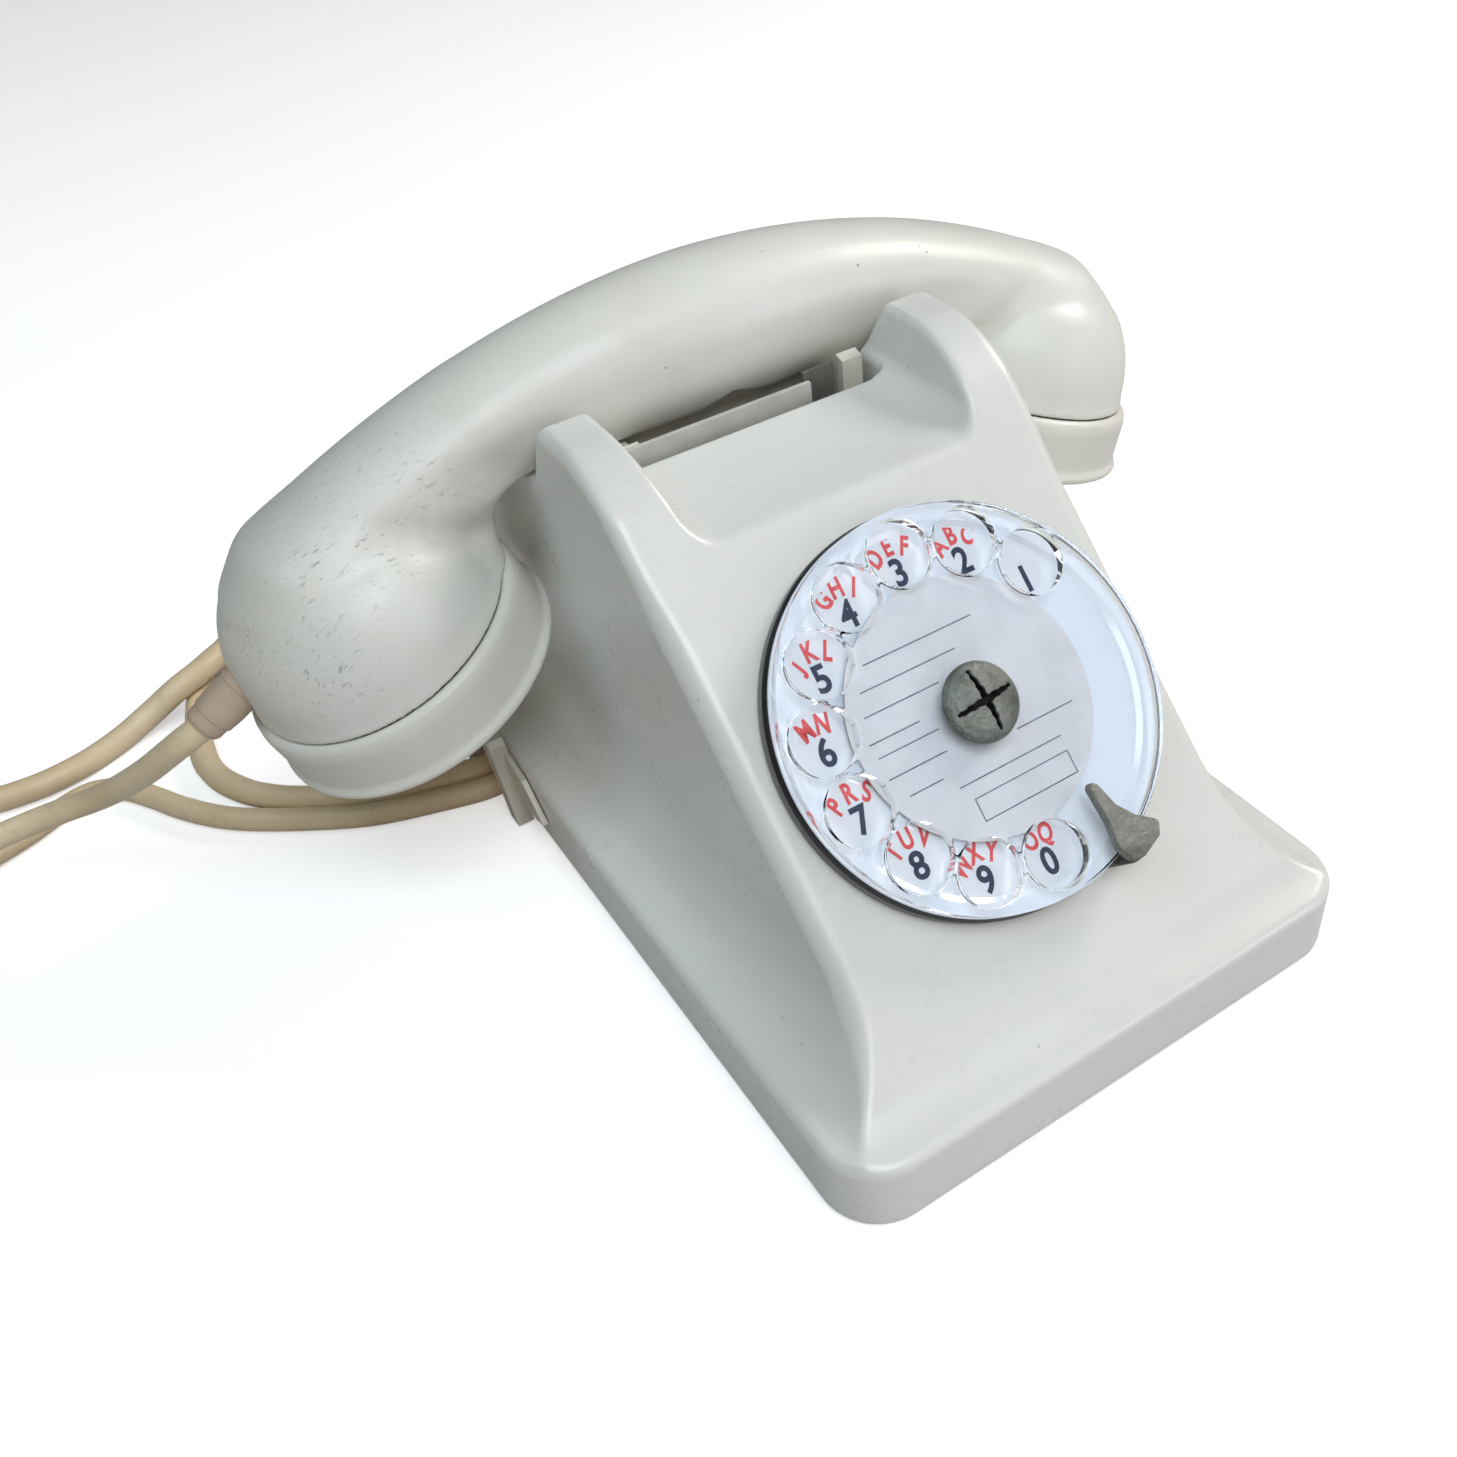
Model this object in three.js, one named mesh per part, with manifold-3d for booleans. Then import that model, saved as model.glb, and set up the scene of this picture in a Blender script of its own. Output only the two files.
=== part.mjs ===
// A desk telephone with a rotary dial, in millimetres: +X right, +Y back, +Z up.
// The origin is on the desk, under the middle of the telephone.
import * as THREE from 'three'
import { mergeVertices } from 'three/addons/utils/BufferGeometryUtils.js'
import Module from 'manifold-3d'

const wasm = await Module()
wasm.setup()

// ---- driving dimensions ----
const GAP = 0.3                       // between pieces that touch
const HALF_DEPTH = 92                 // the plinth, front to back
const PLINTH = { half: 64.75, top: 18.75, bottom: 1.2, corner: 13, bead: 2 }
const LEDGE_Z = 19.3                  // where the plinth turns into the tower
const FACE_ANGLE = THREE.MathUtils.degToRad(43.46)
const FACE_SLOPE = Math.tan(FACE_ANGLE)
const FACE_FOOT_Y = -85               // the face plane at the plinth's top
const TOWER = { front: 48.4, rear: 47.6, flareTop: 40, wall: 3, kneeY: 0 }
const HORN_TOP = 112.3
const SHELF = { z: 97.5, half: 33.5, halfTop: 36.8, fillet: 5 }
const CEILING_Z = 89                  // inside of the tower's top
const SADDLE_Z = 96.2

const DIAL_Y = -44.5                  // centre of the finger wheel's top face
const DIAL_Z = 70
const DIAL_HEIGHT = 9.27              // of that top face over the housing's face
const WHEEL = { radius: 41.2, thick: 3, holes: 10, circle: 32.8, hole: 6.8, first: 39.2, pitch: 25.8 }
const DIAL_HOLE = 34.2
const CASE_OUTER = 42.2
const CARD_RADIUS = 26.4
const SCREW_RADIUS = 8.3
const GEAR = { teeth: 24, radius: 15, pinionTeeth: 8, pinionRadius: 5, spacing: 20.25 }

const HANDLE = { y: 56.3, bottom: 96.9, half: 16.5 }
const CUP = { x: 86.6, z: 69, tilt: THREE.MathUtils.degToRad(19.9), joint: 30.5, rim: 34.4 }
const GLAND = { x: -109.6, z: 71, length: 19, dirX: -0.887, dirZ: -0.462 }

const HOOK_PIVOT = { y: 66, z: 76 }
const HOOK = { half: 31, front: 35.2, webRight: 15.7, webTop: 100.6, padWidth: 5.2 }
const PLATE = { bottom: 2.2, top: 3.7 }   // the steel plate that closes the base
const GONG = { x: 20, y: 62, radius: 17, mouth: 29, top: 40 }
const CLAPPER_Y = 36
const CORD = { handset: 6, line: 6.8 }    // diameters
const CORD_HOLE_Y = { handset: 68.3, line: 75.3 }

// ---- materials: [colour, roughness, metalness] ----
const finish = {
  ivory: ['#e2e0d6', 0.3, 0], cream: ['#ded9c9', 0.35, 0], handset: ['#dedcd2', 0.32, 0],
  black: ['#17161a', 0.4, 0], clear: ['#f2f6fa', 0.1, 0], plate: ['#e6edf8', 0.2, 0],
  card: ['#ece8e6', 0.85, 0], zinc: ['#7c8078', 0.55, 0.8], steel: ['#9a9a98', 0.4, 0.9],
  darkSteel: ['#4a4a4c', 0.5, 0.8], brass: ['#b49a52', 0.35, 0.9], bell: ['#a8a498', 0.3, 0.95],
  copper: ['#8a4a2c', 0.6, 0.2], cord: ['#c0b093', 0.5, 0], sleeve: ['#b49a86', 0.6, 0],
  rubber: ['#2a2927', 0.85, 0], can: ['#b0b2b4', 0.35, 0.85], brown: ['#4c2f1e', 0.5, 0],
}

// ---- solids ----
function toSolid(geometry) {
  const bare = geometry.clone()
  bare.deleteAttribute('normal')
  bare.deleteAttribute('uv')
  const merged = mergeVertices(bare, 1e-4)
  return new wasm.Manifold(new wasm.Mesh({
    numProp: 3,
    vertProperties: new Float32Array(merged.attributes.position.array),
    triVerts: new Uint32Array(merged.index.array),
  }))
}

function toGeometry(solid) {
  const mesh = solid.getMesh()
  const geometry = new THREE.BufferGeometry()
  const positions = new Float32Array(mesh.vertProperties)
  geometry.setAttribute('position', new THREE.BufferAttribute(positions, 3))
  geometry.setIndex([...mesh.triVerts])
  geometry.computeVertexNormals()
  return geometry
}

const union = (...parts) => toGeometry(parts.map(toSolid).reduce((a, b) => a.add(b)))
const cut = (body, ...tools) =>
  toGeometry(tools.map(toSolid).reduce((a, b) => a.subtract(b), toSolid(body)))

// A box between two corners.
function box(low, high) {
  const size = high.map((value, i) => value - low[i])
  const middle = high.map((value, i) => (value + low[i]) / 2)
  return new THREE.BoxGeometry(...size).translate(...middle)
}

// An upright turned piece: profile is [radius, height] pairs.
function turned(profile, segments = 20) {
  const points = profile.map(([r, z]) => new THREE.Vector2(r, z))
  return new THREE.LatheGeometry(points, segments).rotateX(Math.PI / 2)
}

const rod = (radius, low, high, segments = 12) =>
  turned([[0, low], [radius, low], [radius, high], [0, high]], segments)

// A flat outline in XY, raised along Z from low to high.
function raised(points, low, high, holes = []) {
  const shape = new THREE.Shape(points.map(([x, y]) => new THREE.Vector2(x, y)))
  for (const hole of holes) {
    shape.holes.push(new THREE.Path(hole.map(([x, y]) => new THREE.Vector2(x, y))))
  }
  return new THREE.ExtrudeGeometry(shape, { depth: high - low, bevelEnabled: false }).translate(0, 0, low)
}

// A [y, z] outline carried along X from low to high.
function alongX(points, low, high) {
  const turn = new THREE.Matrix4().makeBasis(
    new THREE.Vector3(0, 1, 0), new THREE.Vector3(0, 0, 1), new THREE.Vector3(1, 0, 0))
  return raised(points, low, high).applyMatrix4(turn)
}

// An [x, z] outline carried along Y from low to high.
const alongY = (points, low, high) => raised(points, -high, -low).rotateX(Math.PI / 2)

function circle(radius, count, cx = 0, cy = 0) {
  return Array.from({ length: count }, (_, i) => {
    const angle = 2 * Math.PI * i / count
    return [cx + radius * Math.cos(angle), cy + radius * Math.sin(angle)]
  })
}

// Joins equal rings of points into one closed solid with flat ends.
function loft(rings) {
  const count = rings[0].length
  const vertices = rings.flat()
  const faces = []
  for (let k = 0; k < rings.length - 1; k++) {
    for (let i = 0; i < count; i++) {
      const j = (i + 1) % count
      const a = k * count + i
      const b = k * count + j
      faces.push(a, b, b + count, a, b + count, a + count)
    }
  }
  const cap = (start, up) => {
    for (let i = 1; i < count - 1; i++) {
      faces.push(start, start + (up ? i : i + 1), start + (up ? i + 1 : i))
    }
  }
  cap(0, false)
  cap((rings.length - 1) * count, true)
  const geometry = new THREE.BufferGeometry()
  geometry.setAttribute('position', new THREE.Float32BufferAttribute(vertices.flat(), 3))
  geometry.setIndex(faces)
  geometry.computeVertexNormals()
  return geometry
}

// ---- the telephone as a tree of named meshes ----
const telephone = new THREE.Group()

function add(name, geometry, look, parent = telephone) {
  const [color, roughness, metalness] = finish[look]
  const material = new THREE.MeshStandardMaterial({ color, roughness, metalness })
  const mesh = new THREE.Mesh(geometry, material)
  mesh.name = name
  parent.add(mesh)
  return mesh
}

// ---- housing ----
// Plan outline at one height, counter-clockwise from above: round corners, straight sides
// that are parallel as far back as the knee and then close in.
function planRing({ z, front, back, halfFront, halfBack, cornerFront, cornerBack }, steps = 3) {
  const corners = [
    [halfBack, back, cornerBack], [-halfBack, back, cornerBack],
    [-halfFront, front, cornerFront], [halfFront, front, cornerFront],
  ]
  const kneeY = Math.max(TOWER.kneeY, front + cornerFront + 1)
  const ring = []
  corners.forEach(([x, y, r], quarter) => {
    const cx = x - Math.sign(x) * r
    const cy = quarter < 2 ? y - r : y + r
    for (let i = 0; i <= steps; i++) {
      const angle = (quarter + i / steps) * Math.PI / 2
      ring.push([cx + r * Math.cos(angle), cy + r * Math.sin(angle), z])
    }
    if (quarter % 2) {
      ring.push([quarter === 1 ? -halfFront : halfFront, kneeY, z])
    }
  })
  return ring
}

const faceY = (z) => FACE_FOOT_Y + (z - PLINTH.top) / FACE_SLOPE

// Half-width between the plinth's ledge and the upright side, a hollow quarter ellipse.
function flare(z, top) {
  const t = Math.max(0, (TOWER.flareTop - z) / (TOWER.flareTop - LEDGE_Z))
  return top + (PLINTH.half - PLINTH.bead - top) * (1 - Math.sqrt(1 - t * t))
}

function towerLevel(z, front, back, cornerFront, cornerBack, wall = 0) {
  const halfFront = flare(z, TOWER.front) - wall
  const halfBack = flare(z, TOWER.rear) - wall
  return planRing({ z, front, back, halfFront, halfBack, cornerFront, cornerBack })
}

function housingOutside() {
  const { half, top, bottom, corner, bead } = PLINTH
  const band = (z, inset) => planRing({
    z, front: -HALF_DEPTH + inset, back: HALF_DEPTH - inset, halfFront: half - inset,
    halfBack: half - inset, cornerFront: corner - inset / 2, cornerBack: corner - inset / 2,
  })
  const rings = [band(bottom, 0), band(top - bead, 0), band(top - 0.5, 0.5), band(top, 1.3)]
  const sweep = new THREE.QuadraticBezierCurve(
    new THREE.Vector2(-HALF_DEPTH + bead, LEDGE_Z), new THREE.Vector2(-84.4, LEDGE_Z),
    new THREE.Vector2(faceY(23.4), 23.4))
  for (const t of [0.02, 0.35, 0.6, 0.8, 1]) {
    const p = sweep.getPoint(t)
    const rise = p.y - LEDGE_Z
    rings.push(towerLevel(p.y, p.x, 90 - rise / 4, 11 - rise, 9))
  }
  for (const z of [26, 29.5, 34, 40]) {
    rings.push(towerLevel(z, faceY(z), 89, 5, 8))
  }
  for (const z of [60, 80, 98]) {
    rings.push(towerLevel(z, faceY(z), 89 - (z - 40) / 30, 4, 7))
  }
  const horns = [[102, 4, 83.9], [106.2, 9.5, 80.3], [110, 16, 76.8], [111.8, 23, 75], [HORN_TOP, 28, 74.5]]
  for (const [z, front, back] of horns) {
    rings.push(towerLevel(z, front, back, 4, 8))
  }
  return loft(rings)
}

function housingInside() {
  const { wall } = TOWER
  const slant = wall / Math.sin(FACE_ANGLE)
  const half = PLINTH.half - wall
  const plain = (z) => planRing({
    z, front: -HALF_DEPTH + wall, back: HALF_DEPTH - wall, halfFront: half, halfBack: half,
    cornerFront: 10, cornerBack: 10,
  })
  const level = (z) => towerLevel(z, faceY(z) + slant, 84.5, 3, 6, wall)
  return loft([plain(0), plain(15.5), ...[22, 26, 32, 40, 60, CEILING_Z].map(level)])
}

// Fixed frames of reference on the sloping face: local X right, Y up the slope, Z out of it.
const faceFrame = new THREE.Group()
faceFrame.rotation.x = FACE_ANGLE
faceFrame.position.set(
  0, DIAL_Y + DIAL_HEIGHT * Math.sin(FACE_ANGLE), DIAL_Z - DIAL_HEIGHT * Math.cos(FACE_ANGLE))
faceFrame.updateMatrix()
telephone.add(faceFrame)

function shelfOutline() {
  const { z, half, halfTop, fillet } = SHELF
  const side = []
  for (let i = 0; i <= 3; i++) {
    const angle = -Math.PI / 2 + i * Math.PI / 6
    side.push([half - fillet + fillet * Math.cos(angle), z + fillet + fillet * Math.sin(angle)])
  }
  side.push([halfTop, HORN_TOP + 8])
  return [...side, ...side.map(([x, h]) => [-x, h]).reverse()]
}

const SADDLE = [[33.6, 120], [36.2, 112.3], [39.7, 104], [43.5, 97.2], [46.8, SADDLE_Z],
  [65.8, SADDLE_Z], [69.1, 97.2], [72.9, 104], [76.4, 112.3], [79, 120]]
const POSTS = {
  front_left: [-36, -77], front_right: [36, -77], rear_left: [-44.5, 81], rear_right: [44.5, 81],
}

function housing() {
  const places = Object.values(POSTS)
  const posts = places.map(([x, y]) => rod(4, 4.1, 22.3).translate(x, y, 0))
  const bores = places.map(([x, y]) => rod(1.95, 3, 14, 8).translate(x, y, 0))
  const shell = cut(housingOutside(), housingInside())
  const bracketBores = [-29, 29].map((x) => rod(1.7, CEILING_Z - 1, 92.2, 8).translate(x, 72, 0))
  return cut(
    union(shell, ...posts), ...bores, ...bracketBores,
    alongY(shelfOutline(), -20, 110),
    alongX(SADDLE, -60, 60),
    box([-33, 33.1, 80], [33, 50.8, 101]),
    rod(DIAL_HOLE, -12, 12, 40).applyMatrix4(faceFrame.matrix),
    box([-70, 64.3, 0], [-58, 80, 8.6]),
  )
}
add('housing', housing(), 'ivory')

// ---- base plate, feet and screws ----
const FEET = { front_left: [-50, -72], front_right: [50, -72], rear_left: [-50, 68], rear_right: [50, 68] }

function basePlate() {
  const ring = planRing({
    z: 0, front: -88.3, back: 88.3, halfFront: 61.2, halfBack: 61.2, cornerFront: 9.5, cornerBack: 9.5,
  })
  const holes = [
    ...Object.values(FEET).map(([x, y]) => circle(3, 8, x, y)),
    ...Object.values(POSTS).map(([x, y]) => circle(2.1, 6, x, y)),
  ]
  const sheet = raised(ring.map(([x, y]) => [x, y]), PLATE.bottom, PLATE.top, holes)
  return cut(sheet, box([-65, 64, 0], [-58, 80.3, 6]))
}
add('base_plate', basePlate(), 'darkSteel')

for (const [place, [x, y]] of Object.entries(FEET)) {
  const foot = turned([[0, 0], [6.8, 0], [7.5, 0.6], [7.1, 1.9], [2.6, 1.9], [2.6, 5.4], [0, 5.4]], 12)
  add(`foot_${place}`, foot, 'rubber').position.set(x, y, 0)
}

// A screw pointing up: the head lies between bottom and under, the shank ends at the tip.
const screw = ({ head, shank, bottom, under, tip }) => turned([[0, bottom], [head * 0.7, bottom],
  [head, bottom + 0.5], [head, under], [shank, under], [shank, tip], [0, tip]], 8)

for (const [place, [x, y]] of Object.entries(POSTS)) {
  const body = screw({ head: 3.4, shank: 1.6, bottom: 0.5, under: 1.9, tip: 12 })
  add(`base_screw_${place}`, body, 'steel').position.set(x, y, 0)
}

// ---- cord clamp on the left of the plinth ----
function cordClamp() {
  const outside = -PLINTH.half - GAP
  const backing = alongX([[41, 8.5], [46, 6.6], [84, 6.6], [84, 18.4], [58, 18.4], [50, 16.5]],
    outside - 1.3, outside)
  const apron = alongX([[62, 1.2], [83, 1.2], [83, 8], [62, 8]], outside - 1.3, outside)
  const rib = (y, lean) => alongX([[y, 0.4], [y + 4.6, 0.4], [y + 4.6 + lean, 20.5], [y + 3 + lean, 22],
    [y + lean, 22], [y + lean - 1.4, 20.4]], outside - 4.2, outside)
  const openings = [
    [CORD_HOLE_Y.handset, CORD.handset], [CORD_HOLE_Y.line, CORD.line],
  ].map(([y, d]) => rod(d / 2 + 0.4, -70, -60, 12).rotateY(Math.PI / 2).translate(0, y, d / 2 + 0.05))
  const mouth = box([outside - 3, 65, 0], [outside + 1, 79.2, 3.4])
  return cut(union(backing, apron, rib(53, 9), rib(80, 2)), ...openings, mouth)
}
add('cord_clamp', cordClamp(), 'cream')

const clampScrew = turned([[0, 0], [2.6, 0], [2.6, 0.8], [1.6, 1.5], [0, 1.5]], 12).rotateY(-Math.PI / 2)
add('clamp_screw', clampScrew, 'steel').position.set(-PLINTH.half - 2 * GAP - 1.3, 72.5, 13)

// ---- ringer ----
function ringerFrame() {
  const slab = box([-20, 13, PLATE.top + GAP], [20, 44, 6.5])
  const column = box([-4, 40, 6], [4, 43, 24])
  const arm = box([-4, 33, 21.5], [4, 43, 24])
  return cut(union(slab, column, arm), rod(1.5, 20, 26, 10).translate(0, CLAPPER_Y, 0))
}
add('ringer_frame', ringerFrame(), 'steel')

const spool = (radius, length) => turned([[0, 0], [radius, 0], [radius, 1.6], [radius - 1.4, 1.9],
  [radius - 1.4, length - 1.9], [radius, length - 1.6], [radius, length], [0, length]], 12)

for (const [side, sign] of [['left', -1], ['right', 1]]) {
  add(`ringer_coil_${side}`, spool(7.8, 21), 'copper').position.set(sign * 9.5, 24, 6.8)
  const { x, y, radius, mouth, top } = GONG
  const bell = turned([[1.9, top - 1.4], [radius - 5, top - 1.4], [radius - 2, top - 3.4],
    [radius - 1.4, mouth], [radius, mouth], [radius - 0.6, top - 2.6], [radius - 4, top], [1.9, top],
    [1.9, top - 1.4]], 18)
  add(`gong_${side}`, bell, 'bell').position.set(sign * x, y, 0)
  const post = turned([[0, PLATE.top + GAP], [5, PLATE.top + GAP], [5, 6], [3.4, 7.5],
    [3.4, top - 1.7], [1.5, top - 1.7], [1.5, top + GAP], [3.6, top + GAP], [3.6, top + 3], [0, top + 3]], 8)
  add(`gong_post_${side}`, post, 'steel').position.set(sign * x, y, 0)
}

function clapper() {
  const hub = rod(3, 24.4, 34, 12).translate(0, CLAPPER_Y, 0)
  const armature = union(box([-13, 20, 29], [13, 27.5, 31.5]), box([-2, 24, 29], [2, 36, 31.5]))
  const arm = box([-0.8, 37, 31.4], [0.8, GONG.y, 33])
  const ball = new THREE.SphereGeometry(2.2, 8, 6).translate(0, GONG.y, 32.2)
  return cut(union(hub, armature, arm, ball), rod(1.5, 20, 40, 10).translate(0, CLAPPER_Y, 0))
}
add('clapper', clapper(), 'brass')
add('clapper_pin', rod(1.18, 16, 37, 10), 'steel').position.set(0, CLAPPER_Y, 0)

// ---- fixed electrical parts ----
function capacitor() {
  const can = planRing({
    z: 0, front: -16, back: 16, halfFront: 8, halfBack: 8, cornerFront: 2.5, cornerBack: 2.5,
  }, 2)
  const outline = can.map(([x, y]) => [x, y])
  const body = raised(outline, 0, 29)
  const tags = [-6, 6].map((y) => box([-0.5, y - 2, 28], [0.5, y + 2, 34]))
  return union(body, ...tags)
}
add('capacitor', capacitor(), 'can').position.set(-33, -4, PLATE.top + GAP)

function inductionCoil() {
  const winding = spool(9.5, 44).rotateX(-Math.PI / 2).translate(0, -22, 10)
  const cheeks = [-22, 19.6].map((y) => box([-10, y, 0], [10, y + 2.4, 20]))
  return union(winding, ...cheeks)
}
add('induction_coil', inductionCoil(), 'copper').position.set(33, -8, PLATE.top + GAP)

function terminalBlock() {
  const base = union(box([-18, -7, 0], [18, 7, 5]), box([-16, -5.5, 4], [16, 5.5, 8]))
  const heads = [-12, -4, 4, 12].map((x) => rod(2.6, 7, 9.6, 8).translate(x, 0, 0))
  return union(base, ...heads)
}
add('terminal_block', terminalBlock(), 'brown').position.set(0, -18, PLATE.top + GAP)

// ---- hook switch ----
const pivotHole = (radius, half) =>
  rod(radius, -half, half, 12).rotateY(Math.PI / 2).translate(0, HOOK_PIVOT.y, HOOK_PIVOT.z)

function hookBracket() {
  const ears = [-25.5, 24].map((x) => box([x, 61, 71], [x + 1.5, 71, 88]))
  const plate = box([-33, 58, 87.2], [33, 78, 88.7])
  const [left, right, front] = [HOOK.webRight + 0.6, 24.3, 39.3]
  const shield = box([left, front, 82.5], [right, front + 0.8, 101])
  const link = box([left, front, 87.2], [right, 60, 88.7])
  const screwHoles = [-29, 29].map((x) => rod(1.7, 80, 90, 8).translate(x, 72, 0))
  return cut(union(plate, ...ears, shield, link), pivotHole(1.85, 40), ...screwHoles)
}
add('hook_bracket', hookBracket(), 'darkSteel')
for (const [side, x] of [['left', -29], ['right', 29]]) {
  const body = screw({ head: 2.8, shank: 1.3, bottom: 85.2, under: 86.9, tip: 91.8 })
  add(`bracket_screw_${side}`, body, 'steel').position.set(x, 72, 0)
}
add('hook_pin', pivotHole(1.5, 28), 'steel')

function hookLever() {
  const { half, front, webRight, webTop } = HOOK
  const web = box([-half, front, HOOK_PIVOT.z], [webRight, front + 1.2, webTop])
  const bar = box([-half, front, HOOK_PIVOT.z], [half, 47, 77.6])
  const arms = [-23.4, 22].map((x) => box([x, 40, 72.5], [x + 1.4, 69.5, 77.6]))
  return cut(union(web, bar, ...arms), pivotHole(1.6, 40))
}
add('hook_lever', hookLever(), 'steel')

// A pad stands on the lever and leans against the handset's handle; the right one is taller.
const padSide = (top) =>
  [[37, 77.9], [46.5, 77.9], [46.5, 96.3], [43.9, 96.4], [40.7, top - 1.4], [39.6, top], [37, top - 0.8]]
for (const [side, low, top] of [['left', -30.5, 99.4], ['right', 25.3, 102.4]]) {
  add(`hook_pad_${side}`, alongX(padSide(top), low, low + HOOK.padWidth), 'cream')
}

function contactPile() {
  const block = box([-8, 68.6, 62], [8, 77, 86.8])
  const leaves = [64, 67, 70].map((z) => box([-4, 44, z], [4, 69, z + 0.6]))
  return union(block, ...leaves)
}
add('contact_pile', contactPile(), 'brown')

function hookSpring() {
  const coils = [[2, 0]]
  for (let i = 0; i < 5; i++) {
    coils.push([2.9, i * 1.6], [3.4, i * 1.6 + 0.8])
  }
  coils.push([2.9, 8], [2, 8], [2, 0])
  return turned(coils, 8).rotateY(Math.PI / 2).translate(10, HOOK_PIVOT.y, HOOK_PIVOT.z)
}
add('hook_spring', hookSpring(), 'steel')

// ---- dial ----
function dialCase() {
  return turned([[32, -25], [33.6, -25], [33.6, GAP], [CASE_OUTER, GAP], [CASE_OUTER, 3.6],
    [CASE_OUTER - 0.6, 4.4], [39, 4.4], [39, 2.9], [32, 2.9], [32, -25]], 36)
}
add('dial_case', dialCase(), 'black', faceFrame)
const numberPlate = turned([[4.7, 3.2], [38.6, 3.2], [38.6, 4.3], [4.7, 4.3], [4.7, 3.2]], 28)
add('number_plate', numberPlate, 'plate', faceFrame)

const FOLLOWERS = { pulse_cam: 0, governor: 150 }   // angle of each pin about the shaft

function dialFrame() {
  const sheet = raised(circle(31.6, 28), -24, -22.4, [circle(4.3, 16)])
  const bush = turned([[4.3, -22.6], [7.5, -22.6], [7.5, -19], [4.3, -19], [4.3, -22.6]], 16)
  const legs = [90, 210, 330].map((angle) =>
    box([27.5, -3, -22.6], [29.5, 3, 2.4]).rotateZ(THREE.MathUtils.degToRad(angle)))
  const pins = Object.values(FOLLOWERS).map((angle) =>
    rod(1.1, -23, -3.4, 10).translate(GEAR.spacing, 0, 0).rotateZ(THREE.MathUtils.degToRad(angle)))
  return union(sheet, bush, ...legs, ...pins)
}
add('dial_frame', dialFrame(), 'steel', faceFrame)
add('dial_shaft', rod(4, -23.5, 4.9, 16), 'steel', faceFrame)

// A gear outline with flat-topped teeth, the first one centred on +X.
function gearOutline(teeth, radius) {
  const module = 2 * radius / teeth
  const outer = radius + 0.62 * module
  const root = radius - 0.95 * module
  const points = []
  for (let i = 0; i < teeth; i++) {
    const step = 2 * Math.PI / teeth
    const middle = i * step
    for (const [r, share] of [[root, -0.27], [outer, -0.11], [outer, 0.11], [root, 0.27]]) {
      points.push([r * Math.cos(middle + share * step), r * Math.sin(middle + share * step)])
    }
  }
  return points
}

const mainGear = raised(gearOutline(GEAR.teeth, GEAR.radius), -12, -10.2, [circle(4.3, 12)])
add('dial_gear', mainGear, 'brass', faceFrame)

// A follower turns on its own pin, with a gap between its teeth at a tooth of the main gear.
function follower(name, extra) {
  const place = new THREE.Group()
  place.rotation.z = THREE.MathUtils.degToRad(FOLLOWERS[name])
  faceFrame.add(place)
  const pinion = raised(gearOutline(GEAR.pinionTeeth, GEAR.pinionRadius), -12.2, -9.9)
    .rotateZ(Math.PI + Math.PI / GEAR.pinionTeeth)
  const body = cut(union(pinion, ...extra), rod(1.45, -30, 10, 10))
  add(name, body, 'brass', place).position.x = GEAR.spacing
}
follower('pulse_cam', [rod(2.6, -12.2, -4.4, 12), box([-6.5, -1.6, -6.5], [6.5, 1.6, -4.4])])
follower('governor', [rod(2.6, -20, -10, 12), rod(9, -19.5, -18, 20),
  box([5, -3, -18.5], [8, 3, -15]), box([-8, -3, -18.5], [-5, 3, -15])])

function dialSpring() {
  const turns = 1.75
  const steps = 24
  const edge = (offset) => Array.from({ length: steps + 1 }, (_, i) => {
    const angle = 2 * Math.PI * turns * i / steps
    const radius = 5.6 + 2.5 * angle / (2 * Math.PI) + offset
    return [radius * Math.cos(angle), radius * Math.sin(angle)]
  })
  return raised([...edge(0.5), ...edge(-0.5).reverse()], -17.8, -13.6)
}
add('dial_spring', dialSpring(), 'darkSteel', faceFrame)
add('dial_contacts', union(box([-9, -27.5, -15], [9, -20, -3]),
  ...[-13, -9, -5].map((h) => box([-18, -24.5, h], [-8, -23.8, h + 2]))), 'brown', faceFrame)

function fingerWheel() {
  const holes = Array.from({ length: WHEEL.holes }, (_, i) => {
    const angle = THREE.MathUtils.degToRad(WHEEL.first + WHEEL.pitch * i)
    return circle(WHEEL.hole, 12, WHEEL.circle * Math.cos(angle), WHEEL.circle * Math.sin(angle))
  })
  return raised(circle(WHEEL.radius, 40), DIAL_HEIGHT - WHEEL.thick, DIAL_HEIGHT, [circle(3.2, 12), ...holes])
}
add('finger_wheel', fingerWheel(), 'clear', faceFrame)
add('dial_card', turned([[3.2, 5.2], [CARD_RADIUS, 5.2], [CARD_RADIUS, 5.7], [3.2, 5.7], [3.2, 5.2]], 24),
  'card', faceFrame)
const centreScrew = turned([[0, 5.2], [2.6, 5.2], [2.6, DIAL_HEIGHT + GAP],
  [SCREW_RADIUS, DIAL_HEIGHT + GAP], [SCREW_RADIUS, 10.6], [6, 12.2], [3.2, 12.9], [0, 13.1]], 16)
add('dial_screw', centreScrew, 'zinc', faceFrame)

function fingerStop() {
  const blade = [[11.6, -24.6], [12.5, -23.5], [13.7, -24.6], [15.3, -29.6], [18.2, -33.2], [22.6, -36.4],
    [21.2, -39.8], [16.6, -43], [13.4, -43.4], [11.6, -38.6], [12.1, -32]]
  const leg = [[22.6, -37.2], [21.2, -39.8], [16.6, -43], [13.4, -43.4], [14.8, -41.2], [19.2, -38.9]]
  return union(raised(blade, 10.1, 12.6), raised(leg, GAP, 12))
}
add('finger_stop', fingerStop(), 'zinc', faceFrame)

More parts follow.
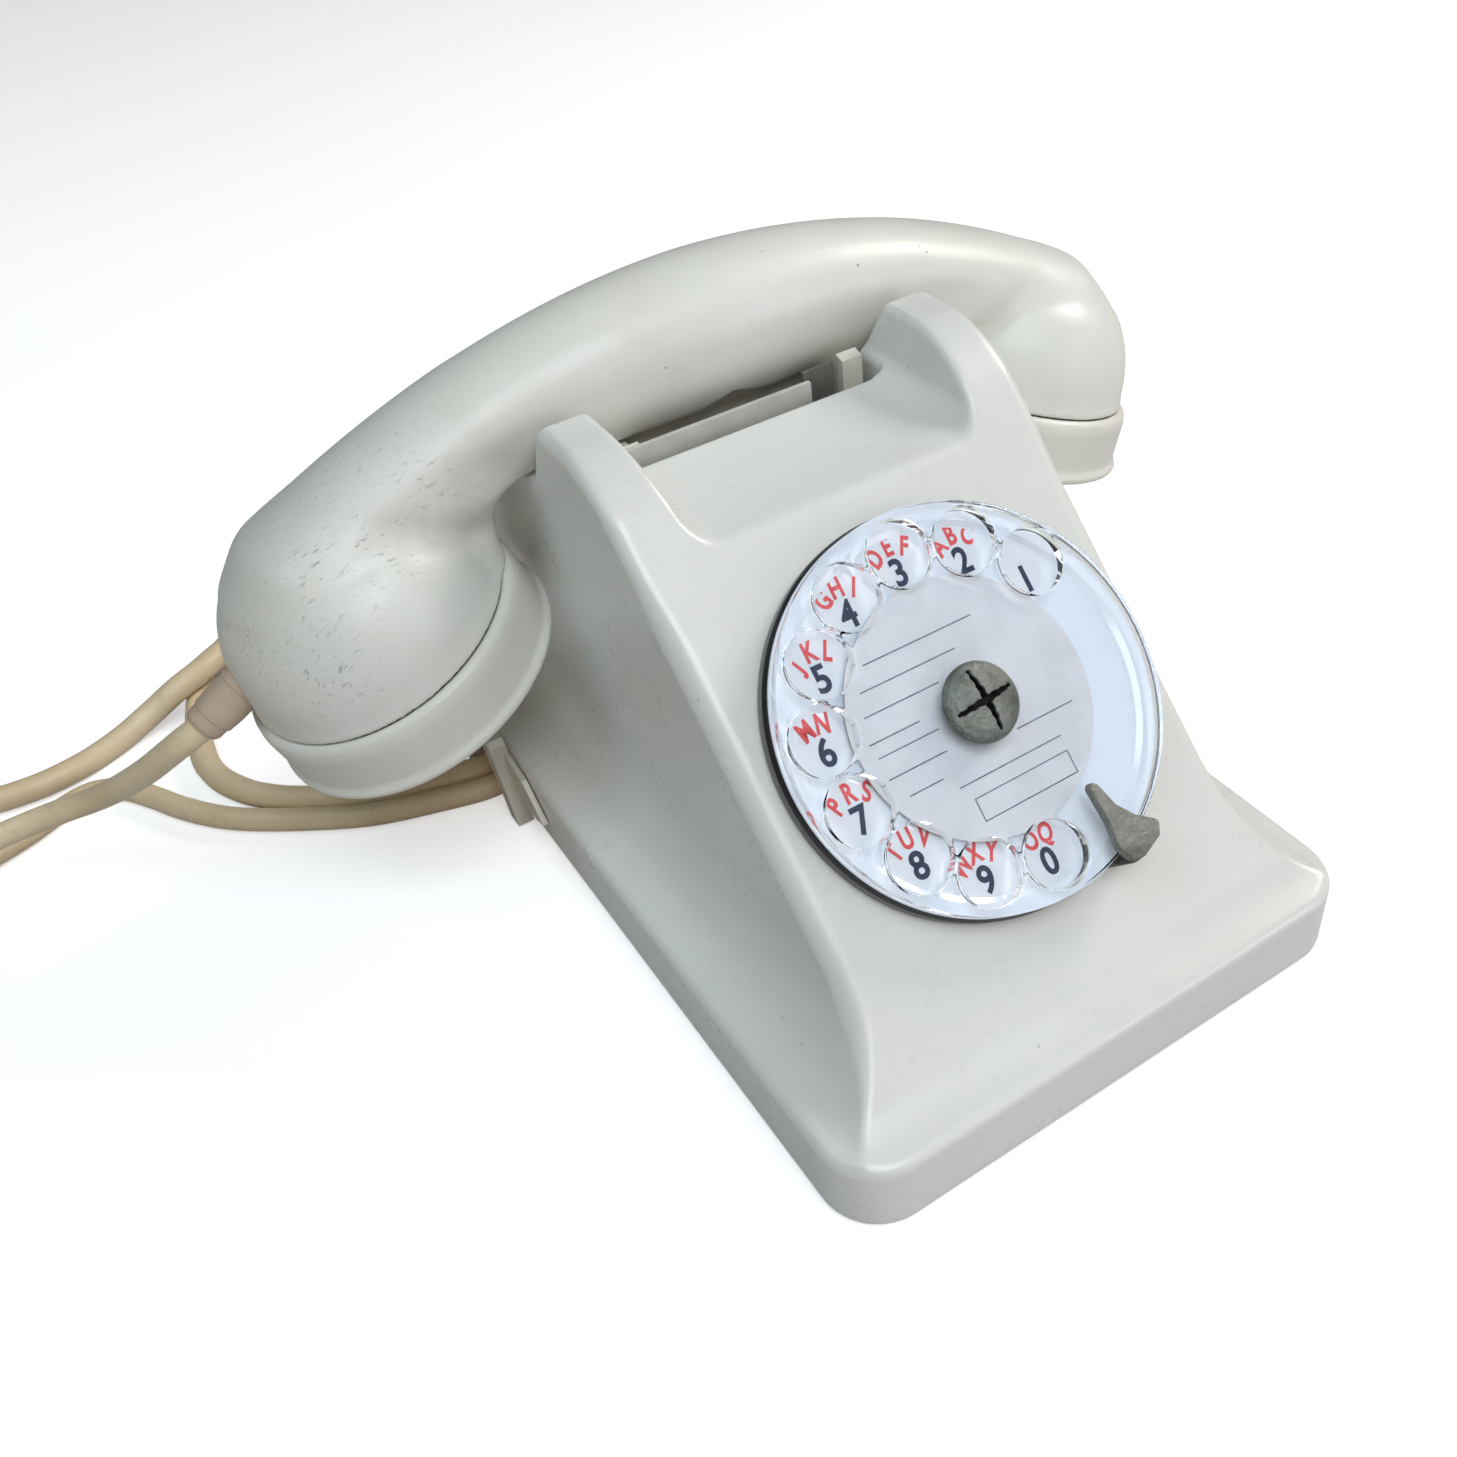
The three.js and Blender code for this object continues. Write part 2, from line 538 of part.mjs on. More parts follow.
// ---- handset ----
const BACK = { top: 127.6, arch: 0.00272 }      // the handle's arched back is a parabola
const HANDLE_SIDE = [[0.69, 0], [0.89, 0.15], [0.985, 0.36], [1, 0.53], [0.92, 0.74], [0.64, 0.91],
  [0.25, 0.985]]                               // [share of the half-width, share of the height]

function handleSection(x) {
  const reach = Math.abs(x)
  const half = reach < 50 ? HANDLE.half - 0.045 * reach : 14.3 + 0.02 * (reach - 50)
  const bottom = HANDLE.bottom - 0.36 * Math.max(0, reach - 52)
  const tall = BACK.top - BACK.arch * x * x - bottom
  const right = HANDLE_SIDE.map(([v, h]) => [x, HANDLE.y + half * v, bottom + tall * h])
  const left = HANDLE_SIDE.map(([v, h]) => [x, HANDLE.y - half * v, bottom + tall * h])
  return [...right, ...left.reverse()]
}

// The neck under each end of the handle, down to just over the cup's joint.
const NECK = { inner: 57.4, outer: 78, half: 11.5, top: 97 }

function neck(sign) {
  const { inner, outer, half, top } = NECK
  const side = [[inner, 80], [outer, 78], [outer, top], [inner, top]].map(([x, z]) => [sign * x, z])
  return alongY(side, HANDLE.y - half, HANDLE.y + half)
}

// Places an upright turned shape on a cup's axis, which leans outwards at the top.
function onCup(geometry, sign) {
  return geometry.rotateY(sign * CUP.tilt).translate(sign * CUP.x, HANDLE.y, CUP.z)
}

function handsetShell() {
  const stations = [-108.6, -98, -86, -74, -62, -50, -34, -17, 0, 17, 34, 50, 62, 74, 86, 98, 108.6]
  const handle = loft(stations.map(handleSection))
  const dome = turned([[0, GAP], [CUP.joint, GAP], [29.8, 4], [28.8, 9.5], [27.2, 15], [23.6, 21.3],
    [18.9, 25.6], [12, 29.4], [0, 32]], 28)
  const bowl = turned([[0, -2], [26.2, -2], [25.6, 6], [23.8, 13], [12, 22], [0, 23.4]], 16)
  const signs = [-1, 1]
  const duct = new THREE.CatmullRomCurve3([[-84, 88], [-56, 106], [0, 112], [56, 106], [84, 88]]
    .map(([x, z]) => new THREE.Vector3(x, HANDLE.y, z)))
  const bore = new THREE.Shape(circle(4, 8).map(([x, y]) => new THREE.Vector2(x, y)))
  const channel = new THREE.ExtrudeGeometry(bore, { steps: 12, bevelEnabled: false, extrudePath: duct })
  const wing = union(handle, ...signs.map(neck), ...signs.map((s) => onCup(dome.clone(), s)))
  const sleeve = gland(0.35, 4)
  return cut(wing, ...signs.map((s) => onCup(bowl.clone(), s)), channel, sleeve)
}

// The cord's sleeve at the mouth end, wider by a margin and longer at the inner end.
function gland(margin = 0, inner = 0) {
  const shape = turned([[0, -inner], [5.1 + margin, -inner], [5.1 + margin, 7], [4.2 + margin, GLAND.length],
    [0, GLAND.length]], 16)
  const along = new THREE.Vector3(GLAND.dirX, 0, GLAND.dirZ).normalize()
  const turn = new THREE.Quaternion().setFromUnitVectors(new THREE.Vector3(0, 0, 1), along)
  return shape.applyQuaternion(turn).translate(GLAND.x, HANDLE.y, GLAND.z)
}
add('handset_shell', handsetShell(), 'handset')
add('handset_gland', gland(), 'sleeve')

for (const [name, capsule, sign] of [['mouth_cap', 'transmitter', -1], ['ear_cap', 'receiver', 1]]) {
  const { rim } = CUP
  const cap = turned([[0, -17.8], [6, -17.8], [20, -17.4], [rim - 2, -16.2], [rim - 0.4, -15.6],
    [rim, -14.4], [rim - 0.6, -13.2], [33.1, -3], [32.8, -1.2], [31.6, 0], [30, 0], [30.4, -13.6],
    [20, -15.1], [0, -15.6]], 28)
  add(name, onCup(cap, sign), 'handset')
  const unit = turned([[0, -14.6], [24, -14.2], [26, -13], [26, -3], [22, 4], [0, 4]], 16)
  add(capsule, onCup(unit, sign), 'can')
}

// ---- cords ----
// A plain tube along a list of points, 8-sided.
function tube(points, diameter, steps) {
  const path = new THREE.CatmullRomCurve3(points.map((p) => new THREE.Vector3(...p)), false, 'centripetal')
  const section = new THREE.Shape(circle(diameter / 2, 8).map(([x, y]) => new THREE.Vector2(x, y)))
  return new THREE.ExtrudeGeometry(section, { steps, bevelEnabled: false, extrudePath: path })
}

// The outer shape of a coil of cord: turns laid on each other around the middle of the coil.
function addCoil(name, { x, y, radius, turns }, diameter) {
  const reach = diameter / 2 + 0.15
  const top = diameter * (turns + 1)
  const profile = [[radius - reach, 0.05], [radius + reach, 0.05], [radius + reach, top],
    [radius - reach, top], [radius - reach, 0.05]]
  add(name, turned(profile, 28), 'cord').position.set(x, y, 0)
}

const COILS = {
  handset: { x: -238, y: 90, radius: 35, turns: 2.75 },
  line: { x: -246, y: 178, radius: 38, turns: 3.5 },
}
const onFloor = (points, diameter) => points.map(([x, y, lift = 0]) => [x, y, diameter / 2 + 0.05 + lift])
const HANDSET_LEAD = [[-127.4, 56.4, 61.7], [-130.8, 57.2, 59.9], [-134.6, 61.5, 55.4],
  [-139.4, 68.2, 48.8], [-144.2, 76.6, 41.6], [-148.8, 85.4, 34.6], [-154.4, 93, 29], [-162, 98.6, 25.4],
  [-171, 102.4, 22.8], [-180, 104.2, 21], [-189, 102.6, 20], [-196.6, 98.2, 19.6]]
const HANDSET_TAIL = onFloor([[-65.4, 68.3], [-71, 68.5], [-82.2, 71.6], [-98.4, 77.5], [-113.8, 87.1],
  [-127.2, 97.6], [-132.8, 103.8], [-138.1, 111.3], [-143.1, 120.1], [-148.4, 127.6], [-155.6, 131.4],
  [-163.6, 129.9], [-172, 126.2], [-182.5, 123], [-195, 122.2], [-208, 124], [-219, 127.4]],
  CORD.handset)
const LINE_TAIL = onFloor([[-65.5, 75.3], [-72, 76.3], [-85, 79.9], [-97.6, 85], [-107.9, 91.5],
  [-117.2, 99.4], [-123.8, 109], [-127.2, 119.5], [-127, 130.6], [-124.8, 142], [-121.8, 152],
  [-119, 160], [-114, 166.6], [-108, 172.4], [-101, 178.6], [-92, 183.2], [-81.8, 183.3], [-73.9, 177.5],
  [-71.4, 168.2], [-75.2, 159.3], [-83.8, 154.8, 1], [-93.5, 157.6, 3.6], [-101.6, 160.4, 6.2],
  [-107.6, 160.4, 7.2], [-112.8, 157.6, 7.5], [-118.4, 154, 7.5], [-125.6, 151.9, 6.2],
  [-134.4, 151, 2.6], [-145.7, 147.8], [-158, 143.6], [-171, 143], [-183, 146], [-193.6, 152.4],
  [-199.6, 159.4], [-202, 166.4]], CORD.line)
const LINE_END = [[-290.8, 166.4, 27], [-291.4, 157, 24.6], [-291, 147, 18.6], [-290.8, 137, 12.2],
  [-290.4, 127, 8.6], [-290.2, 118, 7.1], [-290.2, 112, 7.1]]
add('handset_cord_lead', tube(HANDSET_LEAD, CORD.handset, 12), 'cord')
add('handset_cord_tail', tube(HANDSET_TAIL, CORD.handset, 16), 'cord')
addCoil('handset_cord_coil', COILS.handset, CORD.handset)
add('line_cord_tail', tube(LINE_TAIL, CORD.line, 40), 'cord')
addCoil('line_cord_coil', COILS.line, CORD.line)
add('line_cord_end', tube(LINE_END, CORD.line, 6), 'cord')

// The wall plug: a tapered moulding with four flat blades, lying beside the coil.
function plug() {
  const sections = [[0, 5, 4.4], [10, 6.5, 8], [32, 7, 10.5]].map(([z, deep, half]) => planRing({
    z, front: -deep, back: deep, halfFront: half, halfBack: half, cornerFront: 2, cornerBack: 2,
  }, 2))
  const body = loft(sections)
  const blades = [-6, -2, 2, 6].map((x) => box([x - 0.5, -3, 31.5], [x + 0.5, 3, 41]))
  return union(body, ...blades).rotateX(Math.PI / 2)
}
add('line_plug', plug(), 'cream').position.set(-290.2, 111.6, 7.1)

export default telephone
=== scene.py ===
"""A desk telephone with a rotary dial, in metres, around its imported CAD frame."""
import math

import bmesh
import bpy
import numpy as np
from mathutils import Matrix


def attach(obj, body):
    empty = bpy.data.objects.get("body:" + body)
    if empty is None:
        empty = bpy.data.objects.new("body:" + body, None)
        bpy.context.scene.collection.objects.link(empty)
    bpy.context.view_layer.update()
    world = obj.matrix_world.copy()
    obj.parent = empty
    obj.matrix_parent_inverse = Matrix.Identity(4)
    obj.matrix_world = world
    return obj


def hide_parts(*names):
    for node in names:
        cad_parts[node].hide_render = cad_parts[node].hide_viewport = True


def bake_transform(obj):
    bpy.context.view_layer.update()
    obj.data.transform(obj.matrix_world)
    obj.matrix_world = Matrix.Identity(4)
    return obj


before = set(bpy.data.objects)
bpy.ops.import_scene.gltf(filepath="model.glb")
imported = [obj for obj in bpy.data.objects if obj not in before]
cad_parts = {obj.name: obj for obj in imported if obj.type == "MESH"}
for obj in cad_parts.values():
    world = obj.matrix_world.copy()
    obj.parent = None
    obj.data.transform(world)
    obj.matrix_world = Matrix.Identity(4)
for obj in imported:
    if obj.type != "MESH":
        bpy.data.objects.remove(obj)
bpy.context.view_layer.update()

import openvdb as vdb
from mathutils import Matrix, Vector

MM = 0.001

# ---- driving dimensions, in millimetres ----
PLINTH_HALF, PLINTH_DEPTH_HALF, PLINTH_BOTTOM = 64.75, 92.0, 1.2
LEDGE_Z, FLARE_TOP, FLARE_HALF = 18.9, 40.0, 63.6
TOWER_HALF, TOWER_BACK, TOWER_CORNER = 48.4, 89, 5.7
PLINTH_CORNER, WALL = 13, 3.3
FACE_ANGLE = math.radians(43.46)
DIAL_Y, DIAL_Z, WHEEL_TOP = -44.5, 70.0, 9.27
HORN_TOP, SHELF_Z, SADDLE_Z, CEILING_Z = 112.2, 97.5, 96.2, 89.0
HANDLE_Y = 56.3
CUP_X, CUP_Z, CUP_TILT = 86.6, 69.0, math.radians(19.9)
CUP_SHIFT = 0.7
NECK_X, NECK_HALF = 57.3, 11.5
CARD_RADIUS, CARD_TOP, PLATE_TOP = 26.6, 5.6, 4.3
SLOT_ANGLE, SLOT_FLOOR, SCREW_CROWN = 5, 10.6, 13.1
WHEEL = {"radius": 41.2, "thick": 3.0, "circle": 32.8, "hole": 6.9, "first": 39.2, "pitch": 25.8}
CORD = {"handset": 6.0, "line": 6.8}
INK, INK_Z = 0.03, 4.34

FACE = Matrix.Translation(Vector((
    0, DIAL_Y + WHEEL_TOP * math.sin(FACE_ANGLE), DIAL_Z - WHEEL_TOP * math.cos(FACE_ANGLE))) * MM
) @ Matrix.Rotation(FACE_ANGLE, 4, "X")


def cup_matrix(sign):
    """The frame of a handset cup: Z along its axis, which leans outwards at the top."""
    place = Matrix.Translation(Vector((sign * CUP_X + CUP_SHIFT, HANDLE_Y, CUP_Z)) * MM)
    return place @ Matrix.Rotation(sign * CUP_TILT, 4, "Y")


# ---- camera: its place in millimetres and the directions of its picture's sides ----
CAMERA_PLACE = (-132.04, -213.06, 252.19)
CAMERA_RIGHT, CAMERA_UP = (0.8299, -0.5542, -0.0649), (0.4097, 0.5263, 0.7451)
CAMERA_LENS, CAMERA_SHIFT = 35.71, (-0.0726, 0.0075)


def make_camera():
    data = bpy.data.cameras.new("camera")
    data.sensor_width = 36
    data.lens = CAMERA_LENS
    data.shift_x, data.shift_y = CAMERA_SHIFT
    data.clip_start, data.clip_end = 0.01, 20
    camera = bpy.data.objects.new("camera", data)
    right, up = Vector(CAMERA_RIGHT).normalized(), Vector(CAMERA_UP).normalized()
    back = right.cross(up).normalized()
    up = back.cross(right)
    turn = Matrix((right, up, back)).transposed().to_4x4()
    camera.matrix_world = Matrix.Translation(Vector(CAMERA_PLACE) * MM) @ turn
    bpy.context.scene.collection.objects.link(camera)
    bpy.context.scene.camera = camera


make_camera()


# ---- node trees ----
class Tree:
    """A short way to write a material's nodes."""

    def __init__(self, name):
        self.material = bpy.data.materials.new(name)
        self.material.use_nodes = True
        self.tree = self.material.node_tree
        self.shader = self.tree.nodes["Principled BSDF"]
        self.output = self.tree.nodes["Material Output"]

    def node(self, kind, inputs=(), **settings):
        made = self.tree.nodes.new(kind)
        for key, value in settings.items():
            setattr(made, key, value)
        for key, value in dict(inputs).items():
            self.set(made.inputs[key], value)
        return made

    def set(self, socket, value):
        if isinstance(value, bpy.types.NodeSocket):
            self.tree.links.new(value, socket)
        else:
            socket.default_value = value

    def place(self):
        return self.node("ShaderNodeTexCoord").outputs["Object"]

    def noise(self, scale, detail=4.0, rough=0.55, vector=None, distortion=0.0):
        made = self.node("ShaderNodeTexNoise", {
            "Vector": vector or self.place(), "Scale": scale, "Detail": detail,
            "Roughness": rough, "Distortion": distortion})
        return made.outputs["Fac"]

    def ramp(self, fac, low, high, dark=0.0, light=1.0):
        made = self.node("ShaderNodeMapRange", {
            "Value": fac, "From Min": low, "From Max": high, "To Min": dark, "To Max": light})
        return made.outputs["Result"]

    def math(self, operation, a, b=0.0):
        made = self.node("ShaderNodeMath", operation=operation)
        self.set(made.inputs[0], a)
        self.set(made.inputs[1], b)
        return made.outputs[0]

    def mix(self, fac, a, b):
        made = self.node("ShaderNodeMix", data_type="RGBA")
        self.set(made.inputs["Factor"], fac)
        self.set(made.inputs["A"], a)
        self.set(made.inputs["B"], b)
        return made.outputs["Result"]

    def scaled(self, scale):
        made = self.node("ShaderNodeMapping", {"Vector": self.place(), "Scale": scale})
        return made.outputs["Vector"]

    def near(self, place, reach):
        """1 at a place in the piece's own metres, fading to 0 at a distance."""
        away = self.node("ShaderNodeVectorMath", {0: self.place(), 1: place}, operation="DISTANCE")
        return self.ramp(away.outputs["Value"], reach * 0.5, reach, 1, 0)

    def bump(self, height, strength, distance, normal=None):
        made = self.node("ShaderNodeBump", {"Height": height, "Strength": strength, "Distance": distance})
        if normal is not None:
            self.set(made.inputs["Normal"], normal)
        return made.outputs["Normal"]


def rgb(red, green, blue):
    """A linear colour from the 0 to 255 values of a screen."""
    def linear(v):
        v = v / 255
        return v / 12.92 if v <= 0.04045 else ((v + 0.055) / 1.055) ** 2.4
    return (linear(red), linear(green), linear(blue), 1.0)


def moulding(name, light, dark, roughness=0.3, marks=0.5, pits=0.5, stains=0.3, scuffed=None, pitted=None):
    """Aged glossy moulded plastic: faint mottling, painted shade in its hollows, scuffs and pits.

    scuffed and pitted, where given, are a place and a reach in metres.
    """
    t = Tree(name)
    cloud = t.ramp(t.noise(14, 5, 0.6), 0.35, 0.7)
    colour = t.mix(cloud, light, dark)
    patches = t.ramp(t.noise(36, 6, 0.7, distortion=0.6), 0.6, 0.78, 0, stains)
    colour = t.mix(patches, colour, rgb(150, 140, 118))
    # Painted shade: concave hollows, picked out by the mesh's pointiness, are darkened towards a warm brown.
    hollow = t.ramp(t.node("ShaderNodeNewGeometry").outputs["Pointiness"], 0.40, 0.49, 0.55, 0)
    colour = t.mix(hollow, colour, rgb(150, 138, 112))
    streak = t.noise(1, 3, 0.7, vector=t.scaled((420, 1400, 700)))
    where = t.ramp(t.noise(34, 2), 0.42, 0.62)
    if scuffed:
        where = t.math("MULTIPLY", where, t.near(*scuffed))
    scuff = t.math("MULTIPLY", t.ramp(streak, 0.58, 0.68, 0, marks), where)
    colour = t.mix(scuff, colour, rgb(112, 112, 110))
    speck = t.node("ShaderNodeTexVoronoi", {"Vector": t.place(), "Scale": 190.0})
    dot = t.ramp(speck.outputs["Distance"], 0.04, 0.085, pits, 0)
    rare = t.ramp(t.noise(60, 1), 0.6, 0.66)
    if pitted:
        crowd = t.math("MULTIPLY", t.near(*pitted), t.ramp(t.noise(120, 2), 0.45, 0.6))
        rare = t.math("MAXIMUM", rare, crowd)
    dot = t.math("MULTIPLY", dot, rare)
    colour = t.mix(dot, colour, rgb(104, 98, 86))
    t.set(t.shader.inputs["Base Color"], colour)
    wear = t.ramp(t.noise(48, 6, 0.7), 0.3, 0.75, roughness * 0.75, roughness * 1.45)
    t.set(t.shader.inputs["Roughness"], t.math("ADD", wear, t.math("MULTIPLY", scuff, 0.3)))
    fine = t.bump(t.noise(900, 3, 0.6), 0.05, 0.0002)
    wave = t.bump(t.noise(38, 2, 0.4), 0.10, 0.0012, fine)
    t.set(t.shader.inputs["Normal"], t.bump(t.math("ADD", dot, scuff), -0.5, 0.0002, wave))
    t.shader.inputs["Coat Weight"].default_value = 0.15
    t.shader.inputs["Coat Roughness"].default_value = 0.22
    t.shader.inputs["Subsurface Weight"].default_value = 0.06
    t.shader.inputs["Subsurface Radius"].default_value = (0.004, 0.003, 0.002)
    t.shader.inputs["Subsurface Scale"].default_value = 0.3
    return t.material


def metal(name, light, dark, roughness=0.35, grain=(60, 60, 900), pitting=0.0, metallic=1.0):
    """Brushed, cast or plated metal: directional grain, tarnish patches and, on castings, pits."""
    t = Tree(name)
    patch = t.ramp(t.noise(90, 5, 0.65), 0.35, 0.7)
    t.set(t.shader.inputs["Base Color"], t.mix(patch, light, dark))
    t.shader.inputs["Metallic"].default_value = metallic
    brushed = t.noise(1, 3, 0.6, vector=t.scaled(grain))
    t.set(t.shader.inputs["Roughness"], t.ramp(brushed, 0.3, 0.7, roughness * 0.75, roughness * 1.35))
    normal = t.bump(brushed, 0.12, 0.0001)
    if pitting:
        cell = t.noise(700, 4, 0.7)
        normal = t.bump(t.ramp(cell, 0.35, 0.6), pitting, 0.0002, normal)
    t.set(t.shader.inputs["Normal"], normal)
    return t.material


def rubbery(name, light, dark, roughness=0.45, bump=0.12, grime=0.35):
    """Aged rubber or soft vinyl: stains, patches of grime, dark specks and a faint surface grain."""
    t = Tree(name)
    stain = t.ramp(t.noise(26, 5, 0.6), 0.38, 0.66)
    colour = t.mix(stain, light, dark)
    dirt = t.ramp(t.noise(120, 5, 0.75, distortion=0.5), 0.58, 0.76, 0, grime)
    colour = t.mix(dirt, colour, rgb(96, 84, 66))
    speck = t.node("ShaderNodeTexVoronoi", {"Vector": t.place(), "Scale": 150.0})
    dot = t.math("MULTIPLY", t.ramp(speck.outputs["Distance"], 0.05, 0.10, 0.8, 0),
                 t.ramp(t.noise(70, 1), 0.58, 0.64))
    t.set(t.shader.inputs["Base Color"], t.mix(dot, colour, rgb(70, 60, 48)))
    t.set(t.shader.inputs["Roughness"], t.ramp(t.noise(200, 4), 0.3, 0.7, roughness * 0.8, roughness * 1.3))
    t.set(t.shader.inputs["Normal"], t.bump(t.noise(420, 4, 0.6), bump, 0.0002))
    return t.material


def clear_acrylic():
    """Clear plastic whose shadow is lighter under its faces than under its edges."""
    t = Tree("clear_acrylic")
    t.shader.inputs["Base Color"].default_value = (0.97, 0.985, 1.0, 1)
    t.shader.inputs["Transmission Weight"].default_value = 1.0
    t.shader.inputs["IOR"].default_value = 1.32
    haze = t.ramp(t.noise(130, 5, 0.7), 0.45, 0.8, 0.01, 0.06)
    t.set(t.shader.inputs["Roughness"], haze)
    t.set(t.shader.inputs["Normal"], t.bump(t.noise(60, 3), 0.03, 0.0003))
    facing = t.node("ShaderNodeSeparateXYZ", {"Vector": t.node("ShaderNodeTexCoord").outputs["Normal"]})
    flat = t.ramp(t.math("ABSOLUTE", facing.outputs["Z"]), 0.5, 1.0)
    through = t.mix(flat, (0.2, 0.24, 0.3, 1), (0.5, 0.51, 0.52, 1))
    open_air = t.node("ShaderNodeBsdfTransparent", {"Color": through})
    mixed = t.node("ShaderNodeMixShader", {"Fac": t.node("ShaderNodeLightPath").outputs["Is Shadow Ray"]})
    t.set(mixed.inputs[1], t.shader.outputs["BSDF"])
    t.set(mixed.inputs[2], open_air.outputs["BSDF"])
    t.set(t.output.inputs["Surface"], mixed.outputs["Shader"])
    return t.material


def enamel_plate():
    """The glossy number plate: pale blue-white, faintly clouded, its gloss a little uneven."""
    t = Tree("enamel_plate")
    colour = t.mix(t.ramp(t.noise(30, 4), 0.35, 0.7), rgb(231, 237, 245), rgb(225, 232, 242))
    t.set(t.shader.inputs["Base Color"], colour)
    t.set(t.shader.inputs["Roughness"], t.ramp(t.noise(160, 5, 0.7), 0.3, 0.75, 0.10, 0.28))
    t.set(t.shader.inputs["Normal"], t.bump(t.noise(45, 3), 0.04, 0.0005))
    t.shader.inputs["Coat Weight"].default_value = 0.6
    t.shader.inputs["Coat Roughness"].default_value = 0.06
    return t.material


def paper():
    """The card's paper: fibres, faint blotches and slight waves."""
    t = Tree("card_paper")
    fibre = t.noise(1, 4, 0.7, vector=t.scaled((1500, 500, 900)))
    blotch = t.ramp(t.noise(80, 4), 0.4, 0.7)
    colour = t.mix(blotch, rgb(214, 215, 219), rgb(204, 204, 208))
    t.set(t.shader.inputs["Base Color"], t.mix(t.ramp(fibre, 0.55, 0.75, 0, 0.3), colour, rgb(180, 178, 181)))
    t.set(t.shader.inputs["Roughness"], t.ramp(fibre, 0.3, 0.7, 0.65, 0.9))
    t.set(t.shader.inputs["Normal"], t.bump(t.noise(60, 5, 0.6, distortion=1.2), 0.35, 0.0006))
    return t.material


def printed(name, colour, variation):
    """Printing ink on the plate or the card."""
    t = Tree(name)
    t.set(t.shader.inputs["Base Color"], t.mix(t.ramp(t.noise(500, 3), 0.4, 0.65), colour, variation))
    t.set(t.shader.inputs["Roughness"], t.ramp(t.noise(300, 2), 0.3, 0.7, 0.3, 0.5))
    return t.material


IVORY = moulding("housing_ivory", rgb(221, 222, 218), rgb(217, 217, 211), 0.30, 0, 0.35, 0.03)
HANDSET = moulding("handset_ivory", rgb(221, 222, 216), rgb(214, 212, 202), 0.42, 0.5, 0.8, 0.14,
                   scuffed=((-0.098, 0.044, 0.098), 0.045), pitted=((0.055, 0.045, 0.118), 0.035))
CREAM = moulding("cream_moulding", rgb(213, 211, 200), rgb(204, 200, 186), 0.34, 0.1, 0.5, 0.2)
BLACK = moulding("black_moulding", rgb(38, 37, 41), rgb(27, 26, 29), 0.30, 0.2, 0.2, 0.0)
BROWN = moulding("brown_moulding", rgb(88, 56, 36), rgb(64, 40, 26), 0.42, 0.2, 0.2, 0.1)
ZINC = metal("cast_zinc", rgb(146, 150, 143), rgb(74, 79, 73), 0.5, (500, 500, 500), 0.6, 0.75)
STOP_ZINC = metal("worn_zinc", rgb(148, 149, 141), rgb(84, 86, 79), 0.42, (500, 500, 500), 0.8, 0.75)
STEEL = metal("plain_steel", rgb(178, 178, 174), rgb(134, 133, 128), 0.32)
SHEET = metal("grey_sheet", rgb(196, 194, 188), rgb(178, 176, 168), 0.45, (900, 60, 60), 0.0, 0.1)
DARK_STEEL = metal("dark_steel", rgb(150, 148, 144), rgb(104, 103, 100), 0.4, (900, 60, 60), 0.0, 0.6)
BRASS = metal("turned_brass", rgb(196, 166, 98), rgb(150, 120, 66), 0.3)
BELL = metal("bell_metal", rgb(190, 187, 176), rgb(158, 152, 138), 0.22)
TIN = metal("tin_can", rgb(186, 188, 190), rgb(150, 152, 154), 0.34)
COPPER = metal("copper_winding", rgb(150, 84, 48), rgb(108, 56, 32), 0.45, (40, 40, 3800), 0.2, 0.6)
CORD_SKIN = rubbery("cord_skin", rgb(228, 210, 178), rgb(214, 192, 156), 0.42, 0.12, 0.3)
SLEEVE = rubbery("sleeve_rubber", rgb(198, 178, 156), rgb(170, 148, 126), 0.5, 0.25, 0.6)
FOOT_RUBBER = rubbery("foot_rubber", rgb(44, 43, 41), rgb(30, 29, 28), 0.8, 0.4, 0.1)
CLEAR = clear_acrylic()
PLATE = enamel_plate()
PAPER = paper()
SLATE_INK = printed("slate_ink", rgb(46, 56, 80), rgb(56, 66, 90))
CORAL_INK = printed("coral_ink", rgb(216, 78, 82), rgb(224, 96, 98))
# Near-black painted shade for the deep faces of the screw's slots, which also stands for oxide there.
SLOT_SHADE_AND_OXIDE = metal("slot_shade_and_oxide", rgb(34, 34, 32), rgb(18, 18, 17), 0.8, (400, 400, 400), 0.3, 0.3)
RULE_INK = printed("rule_ink", rgb(96, 102, 118), rgb(120, 126, 140))


# ---- making meshes ----
def add(name, mesh, material, body, slot, *nodes, matrix=None, smooth=35):
    """A piece from a mesh in metres: its material, its body and the CAD nodes it stands for; the slot
    argument is not used.
    """
    piece = bpy.data.objects.new(name, mesh)
    bpy.context.scene.collection.objects.link(piece)
    if matrix is not None:
        piece.matrix_world = matrix
    mesh.materials.clear()
    mesh.materials.append(material)
    if smooth:
        mesh.shade_smooth()
        if smooth < 180:
            mesh.set_sharp_from_angle(angle=math.radians(smooth))
    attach(piece, body)
    if nodes:
        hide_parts(*nodes)
    return piece


def from_bmesh(bm, name):
    bmesh.ops.recalc_face_normals(bm, faces=bm.faces)
    mesh = bpy.data.meshes.new(name)
    bm.to_mesh(mesh)
    bm.free()
    return mesh


def filleted(points, radius, steps, closed=True):
    """The polyline with its corners rounded."""
    out = []
    count = len(points)
    for i, point in enumerate(points):
        here = Vector(point)
        if not closed and i in (0, count - 1):
            out.append(here)
            continue
        before = Vector(points[i - 1]) - here
        after = Vector(points[(i + 1) % count]) - here
        angle = before.angle(after)
        if angle > math.radians(176):
            out.append(here)
            continue
        cut = min(radius / math.tan(angle / 2), before.length * 0.49, after.length * 0.49)
        a, b = here + before.normalized() * cut, here + after.normalized() * cut
        for k in range(steps + 1):
            t = k / steps
            out.append(a * (1 - t) ** 2 + here * 2 * t * (1 - t) + b * t ** 2)
    return out


